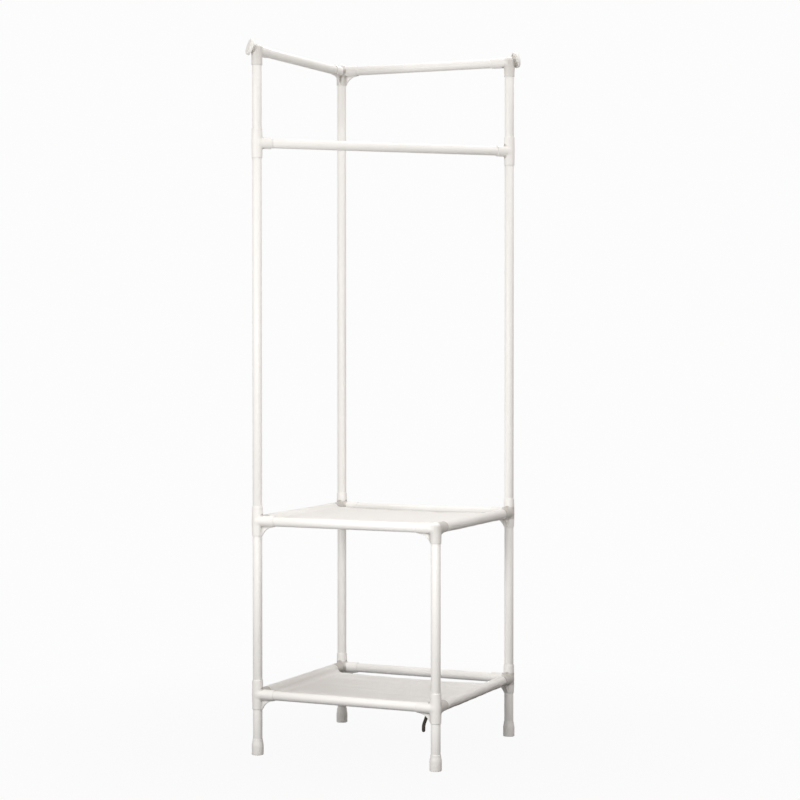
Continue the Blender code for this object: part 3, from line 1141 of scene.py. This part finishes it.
@dataclass
class ConnectorShop:
    """All the moulded connectors, each shape skinned once and turned to its corners."""

    plan: Plan
    plastic: Material
    core_wall: float = 0.0029
    socket_wall: float = 0.0017
    tee_wall: float = 0.0024
    tee_bead: float = 0.0004

    def _moulding(self, **changes: Any) -> Moulding:
        """A moulding with the sizes that all connectors share.

        Args:
            changes: Fields that differ.

        Returns:
            The moulding.
        """
        low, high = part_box("low_connector_left")
        bore = self.plan.tube_radius + FIT_GAP
        values = {
            "rails": (Vector((1.0, 0.0, 0.0)), Vector((0.0, 1.0, 0.0))),
            "bore_radius": bore,
            "socket_radius": bore + self.socket_wall,
            "socket_reach": high.x + self.plan.half,
            "barrel_radius": -self.plan.half - low.x,
            "barrel_reach": (high.z - low.z) / 2,
            "core": bore + self.core_wall,
        }
        return Moulding(**{**values, **changes})

    @staticmethod
    def rise_of(node: str, axis_height: float) -> float:
        """How far a closed connector's top stands over its rails' axis."""
        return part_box(node)[1].z - axis_height

    def _place(self, node: str, form: Skin, centre: Vector, turn: float) -> None:
        """Set one connector in its corner.

        Args:
            node: The solid that it replaces.
            form: Points, quads and painted shade of its skin.
            centre: The crossing of its tube axes.
            turn: Turn about the upright axis.
        """
        points, quads, painted_shades = form
        mesh = new_mesh(node, points, quads)
        # The painted shade goes into a point attribute that the plastic finish reads
        mesh.attributes.new(PAINTED_SHADE, "FLOAT", "POINT").data.foreach_set("value", painted_shades.astype(np.float32))
        mesh.transform(Matrix.Translation(centre) @ Matrix.Rotation(turn, 4, "Z"))
        piece = new_object(f"{node}_moulding", mesh)
        set_piece(piece, Slot.PLASTIC, self.plastic, (node,))

    def build(self) -> None:
        """Make every connector."""
        self._build_corners()
        self._build_tees()
        self._build_ends()

    def _build_corners(self) -> None:
        """The webbed connectors of both shelf frames and of the top back corner."""
        plan = self.plan
        moulding = self._moulding(webbed=True)
        open_form = moulding.build()
        front_rise = self.rise_of("mid_connector_front", plan.mid_z)
        front_form = self._moulding(webbed=True, dome_rise=front_rise).build()
        back_rise = self.rise_of("top_connector_back", plan.top_z)
        back_form = self._moulding(webbed=True, dome_rise=back_rise).build()
        for corner in Corner:
            sleeved = moulding.rails[1 - corner.value % 2]
            mid_form = front_form if corner is Corner.FRONT else open_form
            for level, form, height in (("low", open_form, plan.low_z), ("mid", mid_form, plan.mid_z)):
                shaded = moulding.beside_sleeve(form, sleeved)
                node = f"{level}_connector_{corner.word}"
                self._place(node, shaded, plan.post(corner, height), corner.turn)
        back = Corner.BACK
        self._place("top_connector_back", back_form, plan.post(back, plan.top_z), back.turn)

    def _build_tees(self) -> None:
        """The two connectors that carry the hanging rail."""
        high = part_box("hang_connector_left")[1]
        radius = self.plan.tube_radius + FIT_GAP + self.tee_wall
        diagonal = Vector((1.0, 1.0, 0.0)).normalized()
        reach = (high.x + self.plan.half) / diagonal.x - radius
        tee = self._moulding(rails=(diagonal,), socket_radius=radius, socket_reach=reach, bead=self.tee_bead)
        form = tee.build()
        for corner in (Corner.LEFT, Corner.RIGHT):
            centre = self.plan.post(corner, self.plan.hang_z)
            self._place(f"hang_connector_{corner.word}", form, centre, corner.turn)

    def _build_ends(self) -> None:
        """The two connectors at the front ends of the top rails, with their peg bosses."""
        rise = self.rise_of("top_connector_left", self.plan.top_z)
        rails = {Corner.LEFT: Vector((0.0, 1.0, 0.0)), Corner.RIGHT: Vector((-1.0, 0.0, 0.0))}
        for corner, rail in rails.items():
            end = self._moulding(rails=(rail,), dome_rise=rise, peg=self.plan.peg_axis(corner))
            centre = self.plan.post(corner, self.plan.top_z)
            self._place(f"top_connector_{corner.word}", end.build(), centre, 0.0)


# Pegs and feet


@dataclass
class HatPegs:
    """Round-headed pegs with a crowned face and a hollow back."""

    plan: Plan
    plastic: Material
    seat: float = 0.0146
    stem_radius: float = 0.0055
    stem_end: float = 0.0043
    hub_radius: float = 0.008
    head_thickness: float = 0.0065
    crown: float = 0.0010
    face_round: float = 0.0026
    rim_wall: float = 0.0024
    recess: float = 0.004
    edge: float = 0.0006
    inset: float = 0.0001
    crown_steps: int = 5
    sides: int = 64

    def head_radius(self, node: str, axis: Vector) -> float:
        """Radius of a peg's head, so that it just reaches the side of its solid's box.

        Args:
            node: The peg's solid.
            axis: The peg's direction.

        Returns:
            The radius.
        """
        low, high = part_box(node)
        beyond = max(abs(low.x), abs(high.x)) - self.plan.half - self.inset
        worn = self.face_round / 4
        rim = self.seat + self.head_thickness - worn
        return (beyond - rim * abs(axis.x)) / math.sqrt(1 - axis.x ** 2) + worn

    def profile(self, head_radius: float) -> Profile:
        """Profile from the middle of the face to the end of the stem.

        Args:
            head_radius: Radius of the head.

        Returns:
            The profile's points.
        """
        top = self.seat + self.head_thickness
        inner = head_radius - self.rim_wall
        floor = self.seat + self.recess
        flat = head_radius - self.face_round
        face = []
        for i in range(self.crown_steps):
            radius = flat * i / self.crown_steps
            face.append((radius, top + self.crown * (1 - (radius / flat) ** 2), 0.0))
        body = [
            (head_radius, top, self.face_round),
            (head_radius, self.seat, self.edge),
            (inner, self.seat, self.edge),
            (inner, floor, self.edge),
            (self.hub_radius, floor, self.edge),
            (self.hub_radius, self.seat, self.edge),
            (self.stem_radius, self.seat, 0.0),
            (self.stem_radius, self.stem_end, self.edge),
            (0.0, self.stem_end, 0.0),
        ]
        return filleted(face + body)

    def build(self) -> None:
        """Make both pegs."""
        for corner in (Corner.LEFT, Corner.RIGHT):
            node = f"hat_peg_{corner.word}"
            centre = self.plan.post(corner, self.plan.top_z + PEG_RISE)
            axis = self.plan.peg_axis(corner)
            facing = axis.to_track_quat("Z", "Y").to_matrix().to_4x4()
            profile = self.profile(self.head_radius(node, axis))
            mesh = turned(node, profile, self.sides, Matrix.Translation(centre) @ facing)
            set_piece(new_object(f"{node}_knob", mesh), Slot.PLASTIC, self.plastic, (node,))


@dataclass
class Feet:
    """Bell-shaped caps over the ends of the legs."""

    plan: Plan
    plastic: Material
    flare: float = 0.016
    lip: float = 0.0009
    sole: float = 0.004
    edge: float = 0.0016
    lip_round: float = 0.0003
    flare_steps: int = 12
    sides: int = 64

    def profile(self, height: float, widest: float) -> Profile:
        """Profile from the middle of the bore's floor, over the lip and down to the sole.

        Args:
            height: Height of the foot.
            widest: Radius at its sole.

        Returns:
            The profile's points.
        """
        bore = self.plan.tube_radius + FIT_GAP
        lip = bore + self.lip
        corners = [(0.0, self.sole, 0.0), (bore, self.sole, 0.0), (bore, height, self.lip_round)]
        corners.append((lip, height, self.lip_round))
        for i in range(1, self.flare_steps + 1):
            share = i / self.flare_steps
            swell = (1 - math.cos(math.pi * share)) / 2
            corners.append((lip + (widest - lip) * swell, height - self.flare * share, 0.0))
        corners += [(widest, 0.0, self.edge), (0.0, 0.0, 0.0)]
        return filleted(corners)

    def build(self) -> None:
        """Make the four feet."""
        for corner in Corner:
            node = f"foot_{corner.word}"
            low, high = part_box(node)
            profile = self.profile(high.z, (high.x - low.x) / 2)
            mesh = turned(node, profile, self.sides, Matrix.Translation(self.plan.post(corner, 0.0)))
            set_piece(new_object(f"{node}_cap", mesh), Slot.PLASTIC, self.plastic, (node,))


# Sewing


@dataclass
class Sewing:
    """Rows of stitches laid along seam lines."""

    thread: Material
    pitch: float = 0.0034
    stitch_length: float = 0.0025
    stitch_width: float = 0.0006
    bead_sides: int = 6
    bead_rings: int = 4
    tree: NodeTree = field(init=False)

    def __post_init__(self) -> None:
        """Build the stitch row once."""
        inputs = {"Seam": "Geometry", "Pitch": "Float", "Stitch": "Vector", "Thread": "Material"}
        sketch, given, made = new_group("stitch_row", "GeometryNodeTree", inputs, {"Row": "Geometry"})
        line = sketch.add("GeometryNodeMeshToCurve", {"Mesh": given["Seam"]}).outputs["Curve"]
        spacing = {"Curve": line, "Length": given["Pitch"]}
        spaced = sketch.add("GeometryNodeResampleCurve", spacing, mode="LENGTH")
        ball = {"Segments": self.bead_sides, "Rings": self.bead_rings, "Radius": 0.5}
        way = sketch.add("GeometryNodeInputTangent").outputs["Tangent"]
        turn = sketch.add("FunctionNodeAlignRotationToVector", {"Vector": way}, axis="X")
        laying = {
            "Points": spaced.outputs["Curve"],
            "Instance": sketch.add("GeometryNodeMeshUVSphere", ball).outputs["Mesh"],
            "Rotation": turn.outputs["Rotation"],
            "Scale": given["Stitch"],
        }
        laid = sketch.add("GeometryNodeInstanceOnPoints", laying)
        self.tree = end_tree(sketch, made, laid.outputs["Instances"], given["Thread"])

    def sew(self, name: str, seams: Sequence[np.ndarray], slot: Slot) -> Object:
        """Lay stitches along seam lines.

        Args:
            name: Name of the piece.
            seams: Points of each seam line, in order.
            slot: Material slot of what is sewn.

        Returns:
            The stitches as one piece.
        """
        edges = []
        first = 0
        for seam in seams:
            edges += [(first + i, first + i + 1) for i in range(len(seam) - 1)]
            first += len(seam)
        mesh = bpy.data.meshes.new(name)
        mesh.from_pydata([tuple(map(float, p)) for p in np.concatenate(seams)], edges, [])
        piece = new_object(name, mesh)
        stitch = Vector((self.stitch_length, self.stitch_width, self.stitch_width))
        add_tree(piece, self.tree, {"Pitch": self.pitch, "Stitch": stitch, "Thread": self.thread})
        bake(piece)
        set_piece(piece, slot, self.thread)
        return piece


# Cloth shelves


def lay_cloth(name: str, rows: Sequence[np.ndarray], places: np.ndarray, thickness: float) -> Object:
    """Cloth laid through rows of points.

    Args:
        name: Name of the piece.
        rows: Points of each row, the same number in all.
        places: Place of each point on the cloth's own map, in metres.
        thickness: The cloth's thickness, half to each side.

    Returns:
        The piece.
    """
    columns = len(rows[0])
    faces = []
    for i in range(len(rows) - 1):
        for j in range(columns - 1):
            corner = i * columns + j
            faces.append((corner, corner + columns, corner + columns + 1, corner + 1))
    mesh = new_mesh(name, np.concatenate(rows), faces)
    layer = mesh.uv_layers.new(name=CLOTH_UV)
    corners = np.zeros(len(mesh.loops), dtype=np.int32)
    mesh.loops.foreach_get("vertex_index", corners)
    layer.data.foreach_set("uv", places[corners].astype(np.float32).ravel())
    piece = new_object(name, mesh)
    wall = piece.modifiers.new("cloth", "SOLIDIFY")
    wall.thickness = thickness
    wall.offset = 0.0
    bake(piece)
    return piece


def ripple(x: np.ndarray, y: np.ndarray, waves: Sequence[Triple]) -> np.ndarray:
    """Uneven height, near -1 to 1, from waves of (cycles along x, cycles along y, start)."""
    total = sum(np.sin(2 * np.pi * (x * a + y * b) + c) for a, b, c in waves)
    return total / len(waves)


@dataclass
class ShelfCloth:
    """One cloth shelf: a sheet with a sleeve sewn round each side rail."""

    plan: Plan
    cloth: Material
    sewing: Sewing
    node: str
    rail_z: float
    leave_angle: float
    trims: tuple[Object, ...] = ()
    sag: float = 0.003
    thickness: float = 0.0007
    sleeve_clearance: float = 0.0002
    upper_bend: float = 0.0130
    lower_bend: float = 0.0060
    lap: float = 0.010
    lap_gap: float = 0.0001
    seam_inset: float = 0.0035
    hem: float = 0.011
    hem_inset: float = 0.008
    drawn_in: float = 0.0035
    wrinkle: float = 0.0036
    wrinkle_reach: float = 0.05
    calm_share: float = 0.35
    pucker: float = 0.0005
    pucker_reach: float = 0.03
    seam_fade: float = 0.02
    flutter: float = 0.0012
    edge_fade: float = 0.020
    lump: float = 0.0006
    lump_start: float = 0.5
    lump_puckers: float = 0.6
    lump_turn: float = 0.05
    sheet_step: float = 0.003
    turn_steps: int = 40
    bend_steps: int = 8
    fold_steps: int = 4
    side_seam_points: int = 90
    hem_seam_points: int = 100
    seam_share: float = 0.98

    WAVES = ((0.9, 8.0, 0.4), (-1.3, 13.0, 1.9), (2.1, 4.3, 4.0), (0.6, 21.0, 2.7))
    PUCKERS = ((4.0, 46.0, 0.3), (-7.0, 33.0, 2.1), (3.0, 61.0, 4.4))
    EDGE_WAVES = ((9.0, 0.0, 0.8), (17.0, 2.0, 2.2), (5.0, 3.0, 5.1))

    def __post_init__(self) -> None:
        """Work out the section's main places from the solid's box."""
        low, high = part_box(self.node)
        self.half_length = (high.y - low.y) / 2
        self.ring = self.plan.tube_radius + self.sleeve_clearance + self.thickness / 2
        self.drop = -self.ring * math.sin(self.leave_angle)
        self.lap_drop = self.drop - self.thickness - self.lap_gap
        self.seam_in = math.sqrt((self.ring + self.upper_bend) ** 2 - (self.drop + self.upper_bend) ** 2)
        self.lap_in = math.sqrt((self.ring + self.lower_bend) ** 2 - (self.lap_drop - self.lower_bend) ** 2)
        self.reach = self.plan.half - self.seam_in

    def _run_out(self, length: float) -> list[float]:
        """Steps along a straight run of cloth, without its start."""
        return [length * i / self.fold_steps for i in range(1, self.fold_steps + 1)]

    def side_path(self) -> Profile:
        """Section round one rail, from the sheet's seam to the lap's end.

        Returns:
            The section's points, inwards and up from the rail's axis.
        """
        upper = (self.seam_in, self.drop + self.upper_bend)
        lower = (self.lap_in, self.lap_drop - self.lower_bend)
        top = math.atan2(upper[1], upper[0])
        bottom = math.atan2(lower[1], lower[0]) + 2 * math.pi
        path = arc(upper, self.upper_bend, -QUARTER, top - math.pi, self.bend_steps)
        path += arc((0.0, 0.0), self.ring, top, bottom, self.turn_steps)[1:]
        path += arc(lower, self.lower_bend, bottom - math.pi, QUARTER, self.bend_steps)[1:]
        return path + [(self.lap_in + run, self.lap_drop) for run in self._run_out(self.lap)]

    def sheet_height(self, x: np.ndarray, y: np.ndarray) -> np.ndarray:
        """Height of the sheet's middle, over the floor, with its sag and wrinkles.

        Args:
            x: Places across the rack.
            y: Places along the rails.

        Returns:
            The heights.
        """
        across = held(1 - (x / self.reach) ** 2)
        from_seam = self.reach - np.abs(x)
        fade = held(from_seam / self.seam_fade)
        tight = (1 - self.calm_share) * np.exp(-from_seam / self.wrinkle_reach)
        pull = fade * (self.calm_share + tight)
        from_edge = np.maximum(self.half_length - np.abs(y), 0.0)
        edge = np.exp(-from_edge / self.edge_fade) * fade
        height = self.rail_z + self.drop - self.sag * across
        height = height + self.wrinkle * pull * ripple(x, y, self.WAVES)
        sewn = self.pucker * fade * np.exp(-from_seam / self.pucker_reach)
        height = height + sewn * ripple(x, y, self.PUCKERS)
        return height + self.flutter * edge * ripple(x, y, self.EDGE_WAVES)

    def drawn(self, x: np.ndarray, y: np.ndarray) -> np.ndarray:
        """Place along the rails of a sheet point, with the free edges drawn in at mid span."""
        across = held(1 - (x / self.reach) ** 2)
        return y * (1 - self.drawn_in / self.half_length * across)

    def _on_sheet(self, x: np.ndarray, y: np.ndarray, rise: float) -> np.ndarray:
        """Points over or under the sheet's middle."""
        return points_of(x, self.drawn(x, y), self.sheet_height(x, y) + rise)

    def _spread(self, half: float) -> np.ndarray:
        """Evenly stepped places from one side of the sheet to the other."""
        return np.linspace(-half, half, round(2 * half / self.sheet_step))

    def build(self) -> None:
        """Make the sheet with its sleeves, its hems and its stitches."""
        side = self.side_path()
        columns = self._spread(self.half_length)
        spans = self._spread(self.reach)[1:-1]
        rows = [self._sleeve_row(-1.0, *place, columns) for place in reversed(side)]
        rows += [self._on_sheet(np.full_like(columns, x), columns, 0.0) for x in spans]
        rows += [self._sleeve_row(1.0, *place, columns) for place in side]
        steps = [np.linalg.norm(b[0, ::2] - a[0, ::2]) for a, b in zip(rows, rows[1:])]
        lengths = np.concatenate([[0.0], np.cumsum(steps)])
        places = points_of(np.repeat(lengths, len(columns)), np.tile(columns, len(rows)))
        sheet = lay_cloth(f"{self.node}_sheet", rows, places, self.thickness)
        set_piece(sheet, Slot.CLOTH, self.cloth, (self.node,))
        extras = [self._hem(-1.0, spans), self._hem(1.0, spans), self._stitches(), *self.trims]

    def _sleeve_row(self, sign: float, inward: float, rise: float, columns: np.ndarray) -> np.ndarray:
        """One line of the sleeve along the rail, lifted off it where the cloth bulges.

        Args:
            sign: Side of the rack, -1 or 1.
            inward: How far in from the rail's axis the line is.
            rise: How far over that axis it is.
            columns: Places along the rail.

        Returns:
            The line's points.
        """
        distance = math.hypot(inward, rise)
        place = np.full_like(columns, self.lump_turn * math.atan2(rise, inward))
        swell = self.lump_start + ripple(place, columns, self.WAVES)
        swell = swell + self.lump_puckers * ripple(place, columns, self.PUCKERS)
        around = max(0.0, 1 - abs(distance - self.ring) / self.thickness)
        factor = 1 + np.maximum(swell, 0.0) * self.lump * around / distance
        return points_of(sign * (self.plan.half - inward * factor), columns, self.rail_z + rise * factor)

    def _hem(self, end: float, x: np.ndarray) -> Object:
        """Folded hem under one free edge of the sheet.

        Args:
            end: End of the sheet, -1 in front or 1 at the back.
            x: Places across the rack.

        Returns:
            The hem.
        """
        fold = (self.thickness + self.lap_gap) / 2
        section = arc((0.0, 0.0), fold, QUARTER, -QUARTER, self.bend_steps)
        section += [(-run, -fold) for run in self._run_out(self.hem)]
        edge = np.full_like(x, end * self.half_length)
        rows = []
        for out, rise in section:
            height = self.sheet_height(x, edge + end * min(out, 0.0)) + rise - fold
            rows.append(points_of(x, self.drawn(x, edge) + end * out, height))
        places = points_of(np.tile(x, len(rows)), np.repeat(np.arange(len(rows)) * fold, len(x)))
        side = "front" if end < 0 else "back"
        piece = lay_cloth(f"{self.node}_hem_{side}", rows, places, self.thickness)
        set_piece(piece, Slot.CLOTH, self.cloth)
        return piece

    def _stitches(self) -> Object:
        """Seams along both sleeves and both hems, above and below.

        Returns:
            All the stitches as one piece.
        """
        layers = (self.thickness / 2, -1.5 * self.thickness - self.lap_gap)
        along = np.linspace(-self.half_length, self.half_length, self.side_seam_points) * self.seam_share
        across = np.linspace(-self.reach, self.reach, self.hem_seam_points) * self.seam_share
        seams = []
        for end in (-1.0, 1.0):
            x = np.full_like(along, end * (self.reach - self.seam_inset))
            y = np.full_like(across, end * (self.half_length - self.hem_inset))
            for layer in layers:
                seams += [self._on_sheet(x, along, layer), self._on_sheet(across, y, layer)]
        return self.sewing.sew(f"{self.node}_stitches", seams, Slot.CLOTH)


@dataclass
class TieTape:
    """Woven tape that hangs from the front hem of the lower cloth."""

    weave: Material
    node: str = "hem_tie_tape"
    width: float = 0.0085
    thickness: float = 0.0009
    longer: float = 0.0025
    lean: float = 0.008
    bend_start: float = 0.28
    bend_share: float = 0.57
    curl: float = 0.0012
    cup: float = 0.0004
    tip_share: float = 0.05
    length_steps: int = 120
    width_steps: int = 8

    def build(self) -> Object:
        """Make the tape, with its round end.

        Returns:
            The tape.
        """
        low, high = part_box(self.node)
        half = self.width / 2
        middle = high.x - half
        depth = high.z - low.z + self.longer
        straight = depth - half
        rows = []
        places = []
        for i in range(self.length_steps + 1):
            down = depth * i / self.length_steps
            share = min(down / straight, 1.0)
            into_tip = max(down - straight, 0.0)
            reach = math.sqrt(max(half ** 2 - into_tip ** 2, (self.tip_share * half) ** 2))
            bend = min(max((share - self.bend_start) / self.bend_share, 0.0), 1.0)
            x = middle - self.lean * bend ** 2 * (3.0 - 2.0 * bend)
            across = np.linspace(-reach, reach, self.width_steps + 1)
            y = (low.y + high.y) / 2 + self.curl * math.sin(math.pi * share) * share
            rows.append(points_of(x + across, y + self.cup * (across / half) ** 2, high.z - down))
            places.append(points_of(across, down))
        tape = lay_cloth(f"{self.node}_weave", rows, np.concatenate(places), self.thickness)
        set_piece(tape, Slot.TAPE, self.weave, (self.node,))
        return tape


# Studio


@dataclass(frozen=True)
class Lamp:
    """A soft square lamp that faces the rack."""

    name: str
    place: Place
    aim: Place
    size: float
    power: float
    colour: Colour = (0.965, 0.98, 0.995)

    def build(self) -> None:
        """Place the lamp."""
        data = bpy.data.lights.new(self.name, "AREA")
        data.size = self.size
        data.energy = self.power
        data.color = self.colour
        obj = bpy.data.objects.new(self.name, data)
        obj.location = self.place
        way = Vector(self.aim) - Vector(self.place)
        obj.rotation_euler = way.to_track_quat("-Z", "Y").to_euler()
        bpy.context.scene.collection.objects.link(obj)


@dataclass
class Studio:
    """Pale floor, soft lamps and the camera."""

    plan: Plan
    background: Colour = (0.975, 0.975, 0.975)
    fill: Colour = (1.0, 0.89, 0.785)
    fill_strength: float = 0.42
    floor_colour: Colour = (0.50, 0.485, 0.465)
    # Painted shade: the floor is dark near the rack, which darkens the light bounced up under the shelves
    # and shows as a faint darker disc round the feet
    near_floor_shade: Colour = (0.03, 0.028, 0.025)
    near_reach: float = 0.6
    far_reach: float = 2.2
    floor_size: float = 30.0
    floor_roughness: float = 0.9
    floor_shade: float = 0.03
    shade_reach: float = 1.3
    lamps: tuple[Lamp, ...] = (
        Lamp("key", (-1.0, -3.5, 1.4), (0.0, 0.0, 1.2), 0.9, 48.0),
        Lamp("near_front", (0.7, -1.7, 0.75), (0.2, 0.0, 0.75), 0.5, 13.5),
        Lamp("soft_top", (0.0, -0.4, 3.6), (0.0, 0.0, 0.5), 3.0, 29.5),
        Lamp("back_high", (-0.34, 1.92, 3.64), (0.0, 0.0, 0.85), 1.0, 31.0),
        Lamp("right_high", (2.4, 0.8, 3.0), (0.0, 0.0, 1.0), 1.0, 28.0),
    )
    camera_place: Place = (2.3148, -4.7919, 0.9828)
    camera_tilt: float = math.radians(1.043)
    camera_turn: float = 0.42257
    picture: float = 800.0
    focal_pixels: float = 2119.9
    shift_pixels: float = -30.0
    sensor: float = 36.0

    def build(self) -> None:
        """Set the camera, the light and the floor."""
        bpy.context.scene.view_settings.view_transform = "Standard"
        self._camera()
        self._world()
        self._floor()
        for lamp in self.lamps:
            lamp.build()

    def _camera(self) -> None:
        """Camera at the photograph's viewpoint, counted from the back post."""
        data = bpy.data.cameras.new("camera")
        data.sensor_width = self.sensor
        data.lens = self.focal_pixels * self.sensor / self.picture
        data.shift_y = self.shift_pixels / self.picture
        camera = bpy.data.objects.new("camera", data)
        camera.location = self.plan.post(Corner.BACK, 0.0) + Vector(self.camera_place)
        camera.rotation_euler = (QUARTER - self.camera_tilt, 0.0, self.camera_turn)
        bpy.context.scene.collection.objects.link(camera)
        bpy.context.scene.camera = camera

    @staticmethod
    def _seen(sketch: Sketch) -> NodeSocket:
        """One for rays that show the background, straight or by reflection.

        Args:
            sketch: The tree's sketch.

        Returns:
            The mask.
        """
        path = sketch.add("ShaderNodeLightPath")
        shown = path.outputs["Is Camera Ray"]
        for name in ("Is Glossy Ray", "Is Transmission Ray"):
            shown = sketch.sum("MAXIMUM", shown, path.outputs[name])
        return shown

    def _world(self) -> None:
        """Warm even fill, with a pale background for what the camera sees."""
        world = bpy.data.worlds.new("studio")
        world.use_nodes = True
        bpy.context.scene.world = world
        nodes = world.node_tree.nodes
        sketch = Sketch(world.node_tree)
        backdrop = sketch.add("ShaderNodeBackground", {"Color": rgba(self.background), "Strength": 1.0})
        fill = nodes["Background"]
        sketch.feed(fill, {"Color": rgba(self.fill), "Strength": self.fill_strength})
        parts = {0: self._seen(sketch), 1: fill.outputs[0], 2: backdrop.outputs[0]}
        mixed = sketch.add("ShaderNodeMixShader", parts)
        sketch.feed(nodes["World Output"], {"Surface": mixed.outputs[0]})

    def _floor(self) -> None:
        """Pale floor that runs into the background, with a faint darker disc near the rack: painted shade
        from its dark colour there, with a faint real shadow.
        """
        half = self.floor_size / 2
        corners = [(-half, -half, 0.0), (half, -half, 0.0), (half, half, 0.0), (-half, half, 0.0)]
        floor = new_object("studio_floor", new_mesh("studio_floor", corners, [(0, 1, 2, 3)]))
        material, sketch, shader = new_material("pale_floor")
        place = sketch.add("ShaderNodeTexCoord").outputs["Object"]
        away = sketch.add("ShaderNodeVectorMath", {0: place}, operation="LENGTH").outputs["Value"]
        # Painted shade: the floor's colour runs from dark near the rack to pale further out
        far = sketch.span(away, self.near_reach, self.far_reach, 0.0, 1.0)
        colour = sketch.mix(far, rgba(self.near_floor_shade), rgba(self.floor_colour))
        looks = {"Base Color": colour, "Roughness": self.floor_roughness, "Specular IOR Level": 0.0}
        sketch.feed(shader, looks)
        glow = sketch.add("ShaderNodeEmission", {"Color": rgba(self.background), "Strength": 1.0})
        plain = sketch.span(away, 0.0, self.shade_reach, 1.0 - self.floor_shade, 1.0)
        share = sketch.sum("MULTIPLY", self._seen(sketch), plain)
        mixed = sketch.add("ShaderNodeMixShader", {0: share, 1: shader.outputs[0], 2: glow.outputs[0]})
        sketch.feed(material.node_tree.nodes["Material Output"], {"Surface": mixed.outputs[0]})
        floor.data.materials.append(material)


def main() -> None:
    """Dress the rack and set the studio round it."""
    logging.basicConfig(level=logging.INFO, format="%(name)s: %(message)s")
    for obj in list(bpy.data.objects):
        bpy.data.objects.remove(obj, do_unlink=True)
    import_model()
    plan = Plan.measure()
    Studio(plan).build()
    effects = Effects()
    paint = POWDER_COAT.build(effects)
    plastic = MOULDED_PLASTIC.build(effects)
    cloth = SHELF_WEAVE.build(effects)
    sewing = Sewing(SEWING_THREAD.build(effects))
    TubeWorks(plan, paint).build()
    ConnectorShop(plan, plastic).build()
    HatPegs(plan, plastic).build()
    Feet(plan, plastic).build()
    tape = TieTape(TIE_TAPE.build(effects)).build()
    ShelfCloth(plan, cloth, sewing, "low_shelf_cloth", plan.low_z, LOW_CLOTH_LEAVES, (tape,)).build()
    ShelfCloth(plan, cloth, sewing, "mid_shelf_cloth", plan.mid_z, MID_CLOTH_LEAVES).build()
    bpy.context.view_layer.update()


if __name__ == "__main__":
    main()
